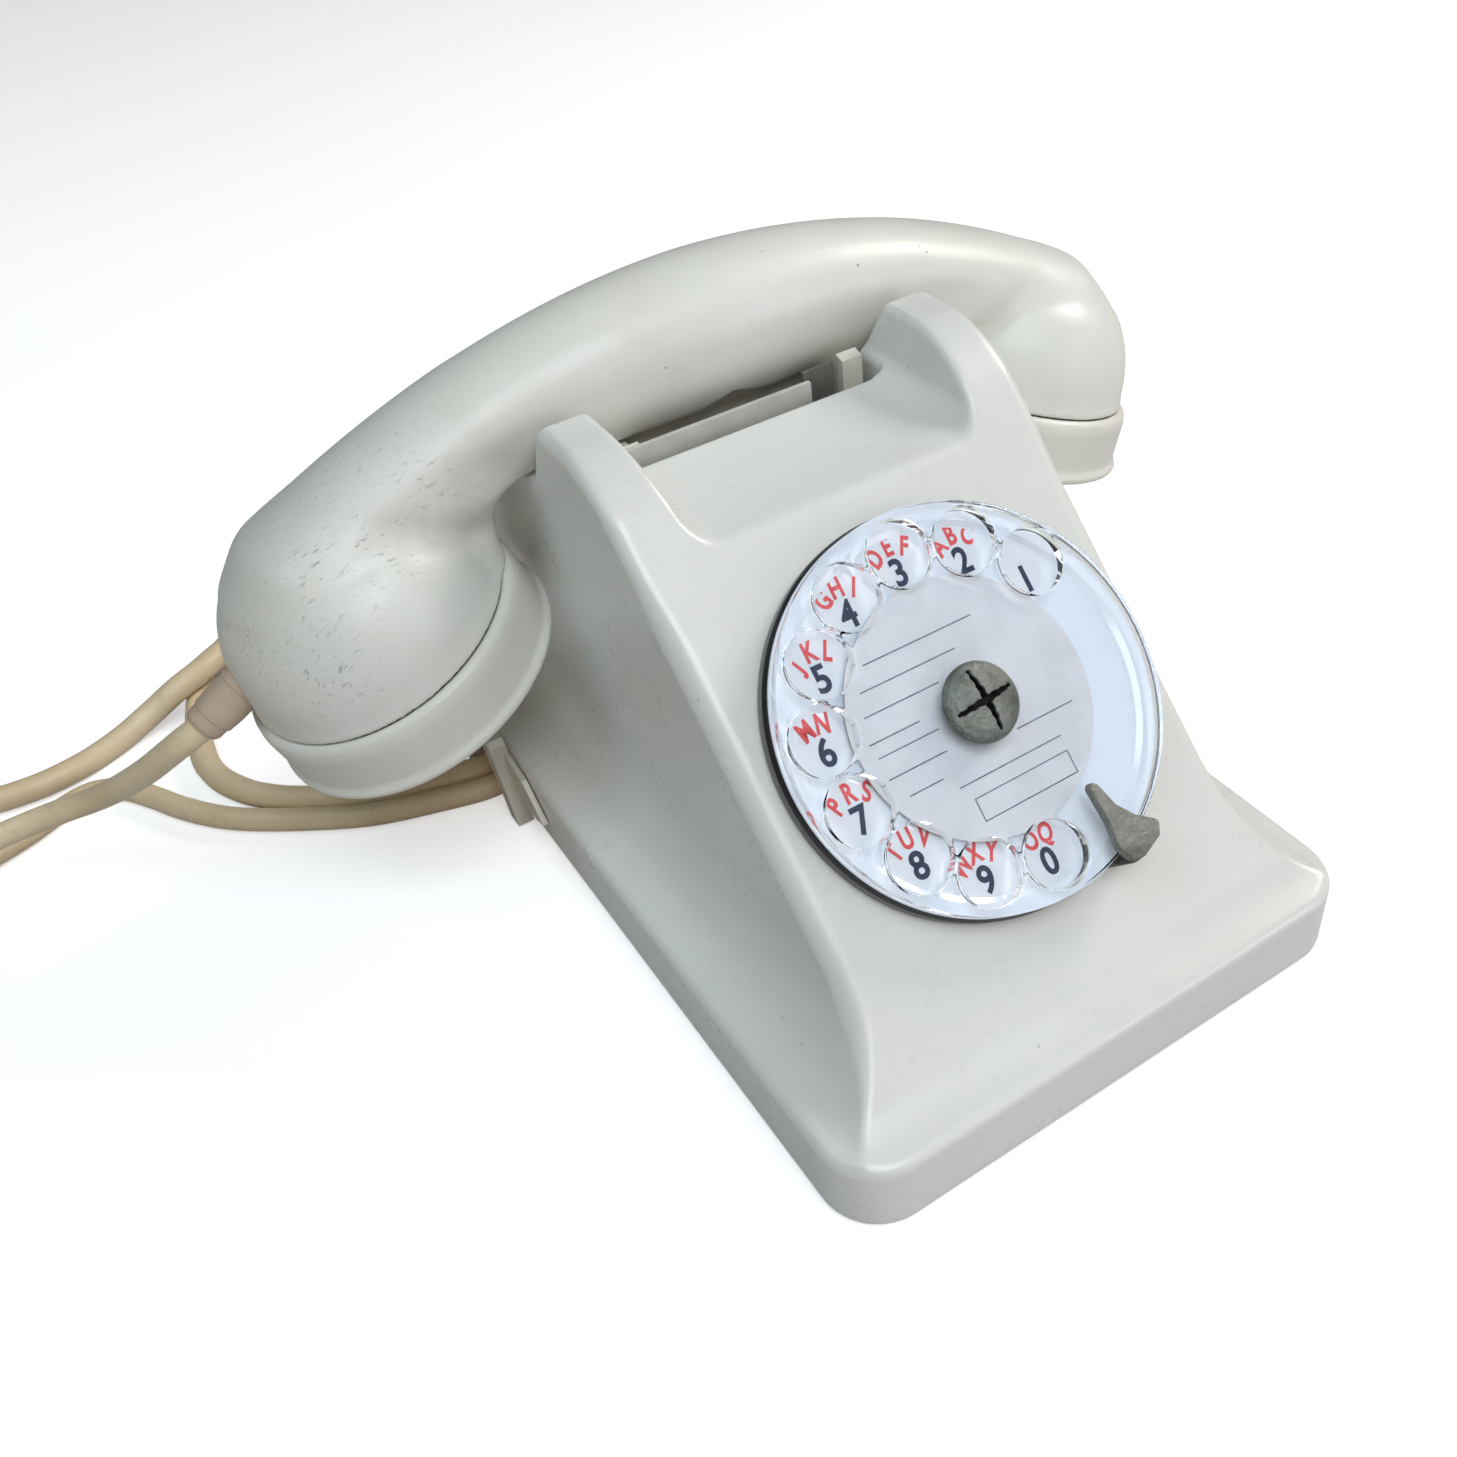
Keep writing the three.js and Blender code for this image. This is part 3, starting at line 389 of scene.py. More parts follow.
def lathe(name, profile, radius, segments):
    """A closed profile of (radius, height) turned about Z, its corners rounded."""
    on_axis = profile[0][0] == 0
    points = filleted(profile, radius, 4, closed=not on_axis)
    bm = bmesh.new()
    rings = []
    for r, z in points:
        if r < 1e-6:
            rings.append([bm.verts.new((0, 0, z * MM))])
            continue
        rings.append([bm.verts.new((r * MM * math.cos(2 * math.pi * i / segments),
                                    r * MM * math.sin(2 * math.pi * i / segments), z * MM))
                      for i in range(segments)])
    pairs = list(zip(rings, rings[1:] + ([] if on_axis else rings[:1])))
    for a, b in pairs:
        for i in range(segments):
            j = (i + 1) % segments
            corners = [a[i % len(a)], a[j % len(a)], b[j % len(b)], b[i % len(b)]]
            unique = list(dict.fromkeys(corners))
            if len(unique) > 2:
                bm.faces.new(unique)
    return from_bmesh(bm, name)


def prism(name, outline, low, high, bevel, segments=2):
    """An outline raised between two heights, with bevelled edges."""
    bm = bmesh.new()
    rings = [[bm.verts.new(Vector((p[0], p[1], h)) * MM) for p in outline] for h in (low, high)]
    count = len(outline)
    bm.faces.new(rings[0][::-1])
    bm.faces.new(rings[1])
    for i in range(count):
        j = (i + 1) % count
        bm.faces.new((rings[0][i], rings[0][j], rings[1][j], rings[1][i]))
    bmesh.ops.recalc_face_normals(bm, faces=bm.faces)
    edges = [e for e in bm.edges if e.calc_face_angle(0) > math.radians(30)]
    bmesh.ops.bevel(bm, geom=edges, offset=bevel * MM, segments=segments, affect="EDGES", profile=0.6)
    return from_bmesh(bm, name)


def joined(name, *meshes):
    """Several closed meshes as one."""
    bm = bmesh.new()
    for mesh in meshes:
        bm.from_mesh(mesh)
        bpy.data.meshes.remove(mesh)
    return from_bmesh(bm, name)


# ---- distance fields, in millimetres, for the smoothly moulded pieces ----
EASE_AND_BACK = [0.6, -0.63] * 6
FIELD_REACH = 3.0


def relaxed(mesh):
    """The mesh with its vertices eased towards their neighbours and back, which removes the grid's steps."""
    points = np.empty(len(mesh.vertices) * 3)
    mesh.vertices.foreach_get("co", points)
    points = points.reshape(-1, 3)
    ends = np.empty(len(mesh.edges) * 2, np.int32)
    mesh.edges.foreach_get("vertices", ends)
    a, b = ends[0::2], ends[1::2]
    degree = np.bincount(ends, minlength=len(points))[:, None]
    for share in EASE_AND_BACK:
        total = np.stack([
            np.bincount(a, points[b, k], len(points)) + np.bincount(b, points[a, k], len(points))
            for k in range(3)], axis=1)
        points = points + share * (total / degree - points)
    mesh.vertices.foreach_set("co", points.ravel())
    mesh.update()
    return mesh


class Field:
    """A grid of points, and a mesh where a field over it is zero."""

    def __init__(self, low, high, cell):
        self.low, self.cell = np.array(low), cell
        axes = [np.arange(a, b + cell, cell, dtype=np.float32) for a, b in zip(low, high)]
        self.x, self.y, self.z = np.meshgrid(*axes, indexing="ij", sparse=True)

    def mesh(self, name, field):
        shape = (self.x.shape[0], self.y.shape[1], self.z.shape[2])
        grid = vdb.FloatGrid(FIELD_REACH)
        near = np.clip(np.broadcast_to(field, shape), -FIELD_REACH, FIELD_REACH)
        grid.copyFromArray(near.astype(np.float32))
        points, quads = grid.convertToQuads(0.0)
        points = (points * self.cell + self.low) * MM
        mesh = bpy.data.meshes.new(name)
        mesh.vertices.add(len(points))
        mesh.vertices.foreach_set("co", points.astype(np.float32).ravel())
        mesh.loops.add(quads.size)
        mesh.loops.foreach_set("vertex_index", quads.astype(np.int32).ravel())
        mesh.polygons.add(len(quads))
        mesh.polygons.foreach_set("loop_start", np.arange(0, quads.size, 4, dtype=np.int32))
        mesh.update(calc_edges=True)
        mesh.validate()
        return relaxed(mesh)


def common(a, b, r):
    """Both solids at once, the edge between them rounded."""
    u, v = np.maximum(a + r, 0), np.maximum(b + r, 0)
    return np.minimum(-r, np.maximum(a, b)) + np.sqrt(u * u + v * v)


def together(a, b, r):
    """Either solid, with a fillet between them."""
    return -common(-a, -b, r)


def without(a, b, r):
    """The first solid less the second, the edge rounded."""
    return common(a, -b, r)


# ---- cords: the routes are part.mjs's, in millimetres here and in metres on the mesh ----
def on_floor(points, diameter):
    """Points for a cord's middle where it lies on the desk; a third number lifts one of them."""
    return [(p[0], p[1], diameter / 2 + 0.05 + (p[2] if len(p) > 2 else 0)) for p in points]


def helix(x, y, radius, start, sweep, low, high, per_turn=24):
    count = round(abs(sweep) / 360 * per_turn)
    turns = [math.radians(start + sweep * i / count) for i in range(count + 1)]
    return [(x + radius * math.cos(a), y + radius * math.sin(a), low + (high - low) * i / count)
            for i, a in enumerate(turns)]


HANDSET_LEAD = [
    (-127.4, 56.4, 61.7), (-130.8, 57.2, 59.9), (-134.6, 61.5, 55.4), (-139.4, 68.2, 48.8),
    (-144.2, 76.6, 41.6), (-148.8, 85.4, 34.6), (-154.4, 93, 29), (-162, 98.6, 25.4),
    (-171, 102.4, 22.8), (-180, 104.2, 21), (-189, 102.6, 20), (-196.6, 98.2, 19.6)]
HANDSET_COIL = helix(-238, 90, 35, -8, -972, 19.4, 3.05)
HANDSET_TAIL = on_floor([
    (-65.4, 68.3), (-71, 68.5), (-82.2, 71.6), (-98.4, 77.5), (-113.8, 87.1), (-127.2, 97.6),
    (-132.8, 103.8), (-138.1, 111.3), (-143.1, 120.1), (-148.4, 127.6), (-155.6, 131.4),
    (-163.6, 129.9), (-172, 126.2), (-182.5, 123), (-195, 122.2), (-208, 124), (-219, 127.4),
], CORD["handset"])
LINE_TAIL = on_floor([
    (-65.5, 75.3), (-72, 76.3), (-85, 79.9), (-97.6, 85), (-107.9, 91.5), (-117.2, 99.4),
    (-123.8, 109), (-127.2, 119.5), (-127, 130.6), (-124.8, 142), (-121.8, 152), (-119, 160),
    (-114, 166.6), (-108, 172.4), (-101, 178.6), (-92, 183.2), (-81.8, 183.3), (-73.9, 177.5),
    (-71.4, 168.2), (-75.2, 159.3), (-83.8, 154.8, 1), (-93.5, 157.6, 3.6), (-101.6, 160.4, 6.2),
    (-107.6, 160.4, 7.2), (-112.8, 157.6, 7.5), (-118.4, 154, 7.5), (-125.6, 151.9, 6.2),
    (-134.4, 151, 2.6), (-145.7, 147.8), (-158, 143.6), (-171, 143), (-183, 146),
    (-193.6, 152.4), (-199.6, 159.4), (-202, 166.4)], CORD["line"])
LINE_COIL = helix(-246, 178, 38, 3, 1247, 3.45, 27.2)
LINE_END = [
    (-290.8, 166.4, 27), (-291.4, 157, 24.6), (-291, 147, 18.6), (-290.8, 137, 12.2),
    (-290.4, 127, 8.6), (-290.2, 118, 7.1), (-290.2, 112, 7.1)]
GLAND_START, GLAND_WAY, GLAND_LENGTH = Vector((-109.6, 56.3, 71)), Vector((-0.887, 0, -0.462)), 19


def spline_through(points, step):
    """Points a step apart along a centripetal Catmull-Rom curve."""
    p = [Vector(q) for q in points]
    p = [p[0] * 2 - p[1], *p, p[-1] * 2 - p[-2]]
    out = []
    for a, b, c, d in zip(p, p[1:], p[2:], p[3:]):
        t = [0.0]
        for u, v in ((a, b), (b, c), (c, d)):
            t.append(t[-1] + (v - u).length ** 0.5)
        count = max(1, round((c - b).length / step))
        for i in range(count):
            s = t[1] + (t[2] - t[1]) * i / count
            ab = a.lerp(b, (s - t[0]) / (t[1] - t[0]))
            bc = b.lerp(c, (s - t[1]) / (t[2] - t[1]))
            cd = c.lerp(d, (s - t[2]) / (t[3] - t[2]))
            out.append(ab.lerp(bc, (s - t[0]) / (t[2] - t[0])).lerp(
                bc.lerp(cd, (s - t[1]) / (t[3] - t[1])), (s - t[1]) / (t[2] - t[1])))
    return out + [p[-2]]


def tube(name, path, radius, sides=20):
    """A round tube along a path in millimetres, its ends closed."""
    bm = bmesh.new()
    rings = []
    side = Vector((0, 0, 1))
    for i, here in enumerate(path):
        way = (path[min(i + 1, len(path) - 1)] - path[max(i - 1, 0)]).normalized()
        side = (side - way * side.dot(way)).normalized()
        over = way.cross(side)
        rings.append([bm.verts.new((here + (side * math.cos(a) + over * math.sin(a)) * radius) * MM)
                      for a in (2 * math.pi * k / sides for k in range(sides))])
    for a, b in zip(rings, rings[1:]):
        for k in range(sides):
            bm.faces.new((a[k], a[(k + 1) % sides], b[(k + 1) % sides], b[k]))
    bm.faces.new(rings[0][::-1])
    bm.faces.new(rings[-1])
    return from_bmesh(bm, name)


def make_handset_cord():
    inside = [tuple(GLAND_START + GLAND_WAY * 15)]
    points = [*inside, *HANDSET_LEAD, *HANDSET_COIL, *HANDSET_TAIL[::-1], (-60, 68.3, 3.05)]
    path = spline_through(points, 2.2)
    piece = bpy.data.objects.new("handset_cord", tube("handset_cord", path, CORD["handset"] / 2))
    bpy.context.scene.collection.objects.link(piece)
    piece.data.materials.append(CORD_SKIN)
    piece.data.shade_smooth()
    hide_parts("handset_cord_lead", "handset_cord_tail", "handset_cord_coil")
    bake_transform(piece)


def make_line_cord():
    points = [(-60, 75.3, 3.45), *LINE_TAIL, *LINE_COIL, *LINE_END]
    data = bpy.data.curves.new("line_cord", "CURVE")
    data.dimensions = "3D"
    data.bevel_depth = CORD["line"] / 2 * MM
    data.bevel_resolution = 5
    data.resolution_u = 6
    data.use_fill_caps = True
    spline = data.splines.new("BEZIER")
    spline.bezier_points.add(len(points) - 1)
    for point, place in zip(spline.bezier_points, points):
        point.co = Vector(place) * MM
        point.handle_left_type = point.handle_right_type = "AUTO"
    piece = bpy.data.objects.new("line_cord", data)
    bpy.context.scene.collection.objects.link(piece)
    data.materials.append(CORD_SKIN)
    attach(piece, "base")
    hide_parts("line_cord_tail", "line_cord_coil", "line_cord_end")


# ---- the housing ----
def smoothstep(t):
    t = np.clip(t, 0, 1)
    return t * t * (3 - 2 * t)


def outside_field(f):
    """The housing's outer shape: plinth, hollow flare, tower with a sloping face, rounded top."""
    x, y, z = np.abs(f.x), f.y, f.z
    wall = TOWER_HALF - 0.008 * np.maximum(0, y)
    wide, tall = FLARE_HALF - wall, FLARE_TOP - LEDGE_Z
    u = np.maximum(0, FLARE_HALF - x) / wide
    v = np.maximum(0, FLARE_TOP - z) / tall
    q = np.sqrt(u * u + v * v)
    side = (1 - q) * q / np.maximum(np.sqrt((u / wide) ** 2 + (v / tall) ** 2), 1e-3)
    ledge = z - LEDGE_Z
    face = -math.sin(FACE_ANGLE) * (y + 38.1) + math.cos(FACE_ANGLE) * (z - 63.2)
    front = together(face, ledge, 4.1)
    front = common(front, z - HORN_TOP, 8.5)
    back = together(y - TOWER_BACK + (z - 38) * 0.032, ledge, 4)
    back = common(back, (y - 80.5 + (z - 106) * 0.87) * 0.755, 6)
    lift = smoothstep((z - LEDGE_Z) / 16)
    tower = common(side, back, 0.3 + TOWER_CORNER * lift)
    tower = common(tower, front, 0.3 + 4.2 * lift - 1.7 * smoothstep((z - 84) / 16))
    px, py = x - (PLINTH_HALF - PLINTH_CORNER), np.abs(y) - (PLINTH_DEPTH_HALF - PLINTH_CORNER)
    column = np.hypot(np.maximum(px, 0), np.maximum(py, 0)) + np.minimum(np.maximum(px, py), 0)
    return common(tower, column - PLINTH_CORNER, 2.5)


def housing_mesh():
    """The housing: hollow, with its shelf, saddle, hook slot, screw posts, dial hole and cord mouth."""
    f = Field((-66.5, -93.5, 0.3), (66.5, 93.5, 113.5), 0.65)
    ax, y, z = np.abs(f.x), f.y, f.z
    body = outside_field(f)
    cavity = np.maximum(body + WALL, z - CEILING_Z)
    body = common(body, PLINTH_BOTTOM - z, 0.8)
    notch = common((ax - 33.5 - (z - SHELF_Z) * 0.21) * 0.98, SHELF_Z - z, 5)
    body = without(body, notch, 1.3)
    saddle = (np.abs(y - HANDLE_Y) - 12.6 - (z - 97.2) * 0.49) * 0.898
    body = without(body, common(saddle, SADDLE_Z - z, 1.5), 1.3)
    slot = np.maximum(np.maximum(ax - 33, np.abs(y - 41.95) - 8.85), 80 - z)
    body = without(body, slot, 0.8)
    body = np.maximum(body, -cavity)
    for px, py in ((36, -77), (44.5, 81)):
        reach = np.hypot(ax - px, y - py)
        body = np.minimum(body, np.maximum(reach - 4, np.maximum(4.1 - z, z - 22.3)))
        body = np.maximum(body, -np.maximum(reach - 1.95, z - 14))
    up = (y - DIAL_Y - WHEEL_TOP * math.sin(FACE_ANGLE))
    over = (z - DIAL_Z + WHEEL_TOP * math.cos(FACE_ANGLE))
    along = up * math.cos(FACE_ANGLE) + over * math.sin(FACE_ANGLE)
    out = over * math.cos(FACE_ANGLE) - up * math.sin(FACE_ANGLE)
    body = without(body, np.maximum(np.hypot(f.x, along) - 34.2, np.abs(out) - 12), 0.5)
    mouth = np.maximum(np.maximum(f.x + 58, np.abs(y - 72.15) - 7.85), z - 8.6)
    body = without(body, mouth, 0.5)
    return f.mesh("housing_shell", body)


# ---- the handset ----
def profile_field(points, smooth=True, reach=6):
    """A distance field of a solid of revolution, as a function of radius and height."""
    if smooth:
        points = [(q.x, q.y) for q in spline_through([(r, z, 0) for r, z in points], 1.0)]
    low = min(p[1] for p in points) - reach
    high = max(p[1] for p in points) + reach
    wide = max(p[0] for p in points) + reach
    closed = np.array([*points, (0, points[-1][1]), (0, points[0][1])])
    step = 0.25
    r, z = np.meshgrid(np.arange(0, wide, step), np.arange(low, high, step), indexing="ij")
    best, inside = np.full(r.shape, 1e9), np.zeros(r.shape, bool)
    for i, (a, b) in enumerate(zip(closed, np.roll(closed, -1, axis=0))):
        d = b - a
        span = float(d @ d)
        if span < 1e-12:
            continue
        if not (a[0] == 0 and b[0] == 0):
            t = np.clip(((r - a[0]) * d[0] + (z - a[1]) * d[1]) / span, 0, 1)
            best = np.minimum(best, np.hypot(r - a[0] - t * d[0], z - a[1] - t * d[1]))
        crosses = (a[1] > z) != (b[1] > z)
        with np.errstate(divide="ignore", invalid="ignore"):
            inside ^= crosses & (r < a[0] + (z - a[1]) * d[0] / (d[1] if d[1] else 1e-9))
    table = np.where(inside, -best, best)

    def sample(radius, height):
        i = np.clip(radius / step, 0, table.shape[0] - 1.001)
        j = np.clip((height - low) / step, 0, table.shape[1] - 1.001)
        i0, j0 = i.astype(np.int32), j.astype(np.int32)
        u, v = i - i0, j - j0
        return ((table[i0, j0] * (1 - u) + table[i0 + 1, j0] * u) * (1 - v)
                + (table[i0, j0 + 1] * (1 - u) + table[i0 + 1, j0 + 1] * u) * v)
    return sample


# The handset's domed ends, outside and inside: radius and height.
DOME = [(0, -1), (30.4, -1), (30.3, 4), (29.4, 9.5), (27.6, 15), (23.8, 21.3), (18.7, 25.5), (11.8, 29),
        (0, 31.6)]
BOWL = [(0, -6), (26.6, -6), (26.2, -2), (25.6, 6), (23.8, 13), (19, 18.6), (12, 22), (0, 23.4)]


def handset_mesh():
    """The handset's moulding: an arched handle with hollow domed ends and the sleeve's hole."""
    f = Field((-121, 22, 60), (121, 90.5, 130), 0.6)
    ax, y, z = np.abs(f.x), f.y - HANDLE_Y, f.z
    half = np.where(ax < 50, 16.5 - 0.045 * ax, 14.25 + 0.02 * (ax - 50))
    bottom = 96.9 - 0.36 * np.maximum(0, ax - 56)
    tall = 127.6 - 0.00272 * ax * ax - bottom
    middle = bottom + 0.53 * tall
    rise = np.where(z > middle, 0.47 * tall, 1.35 * 0.53 * tall)
    u, v = y / half, (z - middle) / rise
    q = np.sqrt(u * u + v * v)
    handle = (q - 1) * q / np.maximum(np.sqrt((u / half) ** 2 + (v / rise) ** 2), 1e-3)
    handle = common(handle, bottom - z, 1.2)
    end = ax + 0.03 * y * y
    handle = common(handle, (end - 107.9) * 0.9 + (z - 95.5) * 0.435, 1.2)
    handle = common(handle, (end - 112.4) * 0.6 - (z - 86) * 0.8, 1)
    neck = common(NECK_X - (z - 80) * 0.1 - ax, np.abs(y) - NECK_HALF, 5.5)
    neck = common(common(neck, ax - 76, 6), z - 98, 2)
    handle = together(handle, neck, 10)
    dx, dz = ax - CUP_X - CUP_SHIFT * np.sign(f.x), z - CUP_Z
    reach = np.hypot(dx * math.cos(CUP_TILT) - dz * math.sin(CUP_TILT), y)
    height = dx * math.sin(CUP_TILT) + dz * math.cos(CUP_TILT)
    dome, bowl = profile_field(DOME), profile_field(BOWL)
    body = together(handle, dome(reach, height), 4.5)
    body = common(body, 0.15 - height, 0.3)
    body = np.maximum(body, -bowl(reach, height))
    way = GLAND_WAY.normalized()
    gx, gz = f.x - GLAND_START.x, z - GLAND_START.z
    along = gx * way.x + gz * way.z
    off = np.hypot(gx * way.z - gz * way.x, y)
    body = without(body, np.maximum(off - 5.4, -4 - along), 0.6)
    return f.mesh("handset_body", body)


def cap_mesh(name, holes):
    """A screw cap with a rounded collar and a perforated face."""
    f = Field((-35.5, -35.5, -19), (35.5, 35.5, 1), 0.5)
    reach = np.hypot(f.x, f.y)
    profile = profile_field([
        (0, -17.8), (6, -17.8), (20, -17.4), (30, -16.6), (33.2, -16), (34.3, -15.2), (34.4, -14.2),
        (33.7, -13.3), (33.3, -12.6), (33.2, -9), (33.1, -3), (32.6, -1), (31.6, -0.1), (30.4, 0), (30, -0.4),
        (30.2, -7), (30.4, -13.2), (28.6, -14.4), (20, -15.1), (0, -15.6)], smooth=False, reach=3)
    body = profile(reach, f.z)
    for x, y, radius in holes:
        body = common(body, radius - np.hypot(f.x - x, f.y - y), 0.4)
    return f.mesh(name, body)


def ring_of(count, circle, radius, turn=0.0):
    """Holes of one radius, evenly spaced on a circle."""
    return [(circle * math.cos(a), circle * math.sin(a), radius)
            for a in (turn + 2 * math.pi * i / count for i in range(count))]


def make_handset():
    add("handset_body", handset_mesh(), HANDSET, "handset", "handset_ivory", "handset_shell", smooth=180)
    holes = {"mouth": [(0, 0, 1.3), *ring_of(6, 7, 1.3), *ring_of(12, 14, 1.3, 0.2)],
             "ear": [(0, 0, 1.5), *ring_of(6, 5.5, 1.5)]}
    for name, sign in (("mouth", -1), ("ear", 1)):
        add(f"{name}_collar", cap_mesh(name, holes[name]), HANDSET, "handset", "handset_ivory",
            f"{name}_cap", matrix=cup_matrix(sign), smooth=180)
    turn = Vector((0, 0, 1)).rotation_difference(GLAND_WAY).to_matrix().to_4x4()
    place = Matrix.Translation(GLAND_START * MM) @ turn
    sleeve = lathe("sleeve", [
        (3.05, -0.5), (5.1, -0.5), (5.1, 3.2), (4.85, 3.6), (5.1, 4), (5.1, 7.4), (4.8, 7.8),
        (4.85, 12), (4.6, 15.5), (4.25, 15.9), (4.2, 18), (3.7, 19), (3.05, 19)], 0.35, 48)
    add("cord_sleeve", sleeve, SLEEVE, "handset", "pink_sleeve", "handset_gland", matrix=place)


# ---- the dial ----
def from_curve(name, splines, extrude, bevel=0.0, resolution=3):
    """Closed outlines filled, with the inner ones as holes, raised both ways and bevelled; in millimetres."""
    data = bpy.data.curves.new(name, "CURVE")
    data.dimensions = "2D"
    data.fill_mode = "BOTH"
    data.extrude = (extrude - bevel) * MM
    data.bevel_depth = bevel * MM
    data.bevel_resolution = resolution
    data.offset = -bevel * MM
    for outline in splines:
        spline = data.splines.new("POLY")
        spline.points.add(len(outline) - 1)
        for point, (x, y) in zip(spline.points, outline):
            point.co = (x * MM, y * MM, 0, 1)
        spline.use_cyclic_u = True
    return meshed(name, data)


def meshed(name, data):
    """The mesh of a curve or a text, its seams welded."""
    holder = bpy.data.objects.new(name, data)
    bpy.context.scene.collection.objects.link(holder)
    bpy.context.view_layer.update()
    mesh = bpy.data.meshes.new_from_object(holder.evaluated_get(bpy.context.evaluated_depsgraph_get()))
    bpy.data.objects.remove(holder)
    bm = bmesh.new()
    bm.from_mesh(mesh)
    bpy.data.meshes.remove(mesh)
    bmesh.ops.remove_doubles(bm, verts=bm.verts, dist=1e-6)
    return from_bmesh(bm, name)


def ring_points(radius, count, x=0.0, y=0.0):
    """The outline of a circle."""
    return [(x + radius * math.cos(2 * math.pi * i / count), y + radius * math.sin(2 * math.pi * i / count))
            for i in range(count)]


def hole_angle(index):
    return math.radians(WHEEL["first"] + WHEEL["pitch"] * index)


def lettering(text, size, width, weight, x, y, turn):
    """A character as a thin raised mesh, centred on a point of the plate."""
    data = bpy.data.curves.new("lettering", "FONT")
    data.body = text
    data.size = size * MM
    data.align_x = "CENTER"
    data.align_y = "CENTER"
    data.extrude = INK * MM
    data.resolution_u = 4
    data.offset = weight * MM
    mesh = meshed("lettering", data)
    narrow = Matrix.Diagonal((width, 1, 1, 1))
    place = Matrix.Translation(Vector((x, y, INK_Z)) * MM)
    mesh.transform(place @ Matrix.Rotation(turn, 4, "Z") @ narrow)
    return mesh


# Where the card is ruled: left and right ends, and height.
CARD_LINES = [(-17.3, 8.6, 16.3), (-20.4, 2.2, 11.7), (-22, -4.3, 7.1), (-23.5, -11.7, 2), (-23, -8.8, -1),
              (-23, -9.4, -5.5), (-20.6, -12.7, -10), (6.5, 20.6, -8), (-10.5, 14.6, -13.1)]


def outline_box(x0, y0, x1, y1):
    return [(x0, y0), (x1, y0), (x1, y1), (x0, y1)]


DIAL_LETTERS = ["", "ABC", "DEF", "GHI", "JKL", "MN", "PRS", "TUV", "WXY", "OQ"]
DIGIT_CIRCLE, LETTER_ARC = 32, 5.7


def make_dial():
    """The dial, in the frame of the sloping face: local X right, Y up the slope, Z out of it."""
    case = lathe("case", [(32, -25), (33.6, -25), (33.6, 0.3), (42, 0.3), (42, 3.2), (41.3, 4.2),
                          (39.2, 4.2), (38.9, 2.9), (32, 2.9)], 0.4, 160)
    add("dial_surround", case, BLACK, "base", "black_moulding", "dial_case", matrix=FACE)
    plate = lathe("plate", [(4.7, 3.2), (38.6, 3.2), (38.6, 4.4), (41.2, 4.4), (41.4, 4.7), (41.2, 5),
                            (38.4, 5), (37.2, 4.4), (36.4, PLATE_TOP), (4.7, PLATE_TOP)], 0.15, 160)
    add("dial_plate", plate, PLATE, "base", "plate_enamel", "number_plate", matrix=FACE)
    digits, letters = [], []
    for i, word in enumerate(DIAL_LETTERS):
        a = hole_angle(i)
        x, y = DIGIT_CIRCLE * math.cos(a) + 0.2, DIGIT_CIRCLE * math.sin(a) - 2.3
        digits.append(lettering(str((i + 1) % 10), 7.8, 0.9, 0.2, x, y, 0))
        for k, letter in enumerate(word):
            lean = (k - (len(word) - 1) / 2) * 0.66
            letters.append(lettering(letter, 5.6, 0.72, 0.18, x + LETTER_ARC * math.sin(lean),
                                     y + LETTER_ARC * math.cos(lean), -lean * 0.75))
    add("dial_digits", joined("digits", *digits), SLATE_INK, "base", "plate_enamel", matrix=FACE, smooth=0)
    add("dial_letters", joined("letters", *letters), CORAL_INK, "base", "plate_enamel", matrix=FACE, smooth=0)

    holes = [ring_points(WHEEL["hole"], 64, WHEEL["circle"] * math.cos(hole_angle(i)),
                         WHEEL["circle"] * math.sin(hole_angle(i))) for i in range(10)]
    disc = from_curve("wheel", [ring_points(WHEEL["radius"], 200), ring_points(3.2, 32), *holes],
                      WHEEL["thick"] / 2, 0.5, 4)
    disc.transform(Matrix.Translation((0, 0, (WHEEL_TOP - WHEEL["thick"] / 2) * MM)))
    wheel = add("clear_wheel", disc, CLEAR, "dial", "clear_acrylic", "finger_wheel", matrix=FACE, smooth=180)
    wheel.modifiers.new("flat faces", "WEIGHTED_NORMAL").weight = 100

    card = lathe("card", [
        (3.2, 5.2), (CARD_RADIUS, 5.2), (CARD_RADIUS, CARD_TOP), (3.2, CARD_TOP)], 0.05, 120)
    add("paper_card", card, PAPER, "dial", "paper_card", "dial_card", matrix=FACE)
    rules = [outline_box(x0, y - 0.14, x1, y + 0.14) for x0, x1, y in CARD_LINES]
    box = [outline_box(-8.7, -21.2, 14.5, -16.2), outline_box(-8.45, -20.95, 14.25, -16.45)]
    ruled = from_curve("rules", [*rules, *box], 0.02)
    ruled.transform(Matrix.Translation((0, 0, (CARD_TOP + INK) * MM)))
    add("card_rules", ruled, RULE_INK, "dial", "paper_card", matrix=FACE, smooth=0)

    head = add("centre_screw", screw_mesh(), ZINC, "dial", "cast_zinc", "dial_screw", matrix=FACE, smooth=180)
    darken_slots(head)
    add("stop_blade", stop_mesh(), STOP_ZINC, "base", "cast_zinc", "finger_stop", matrix=FACE)


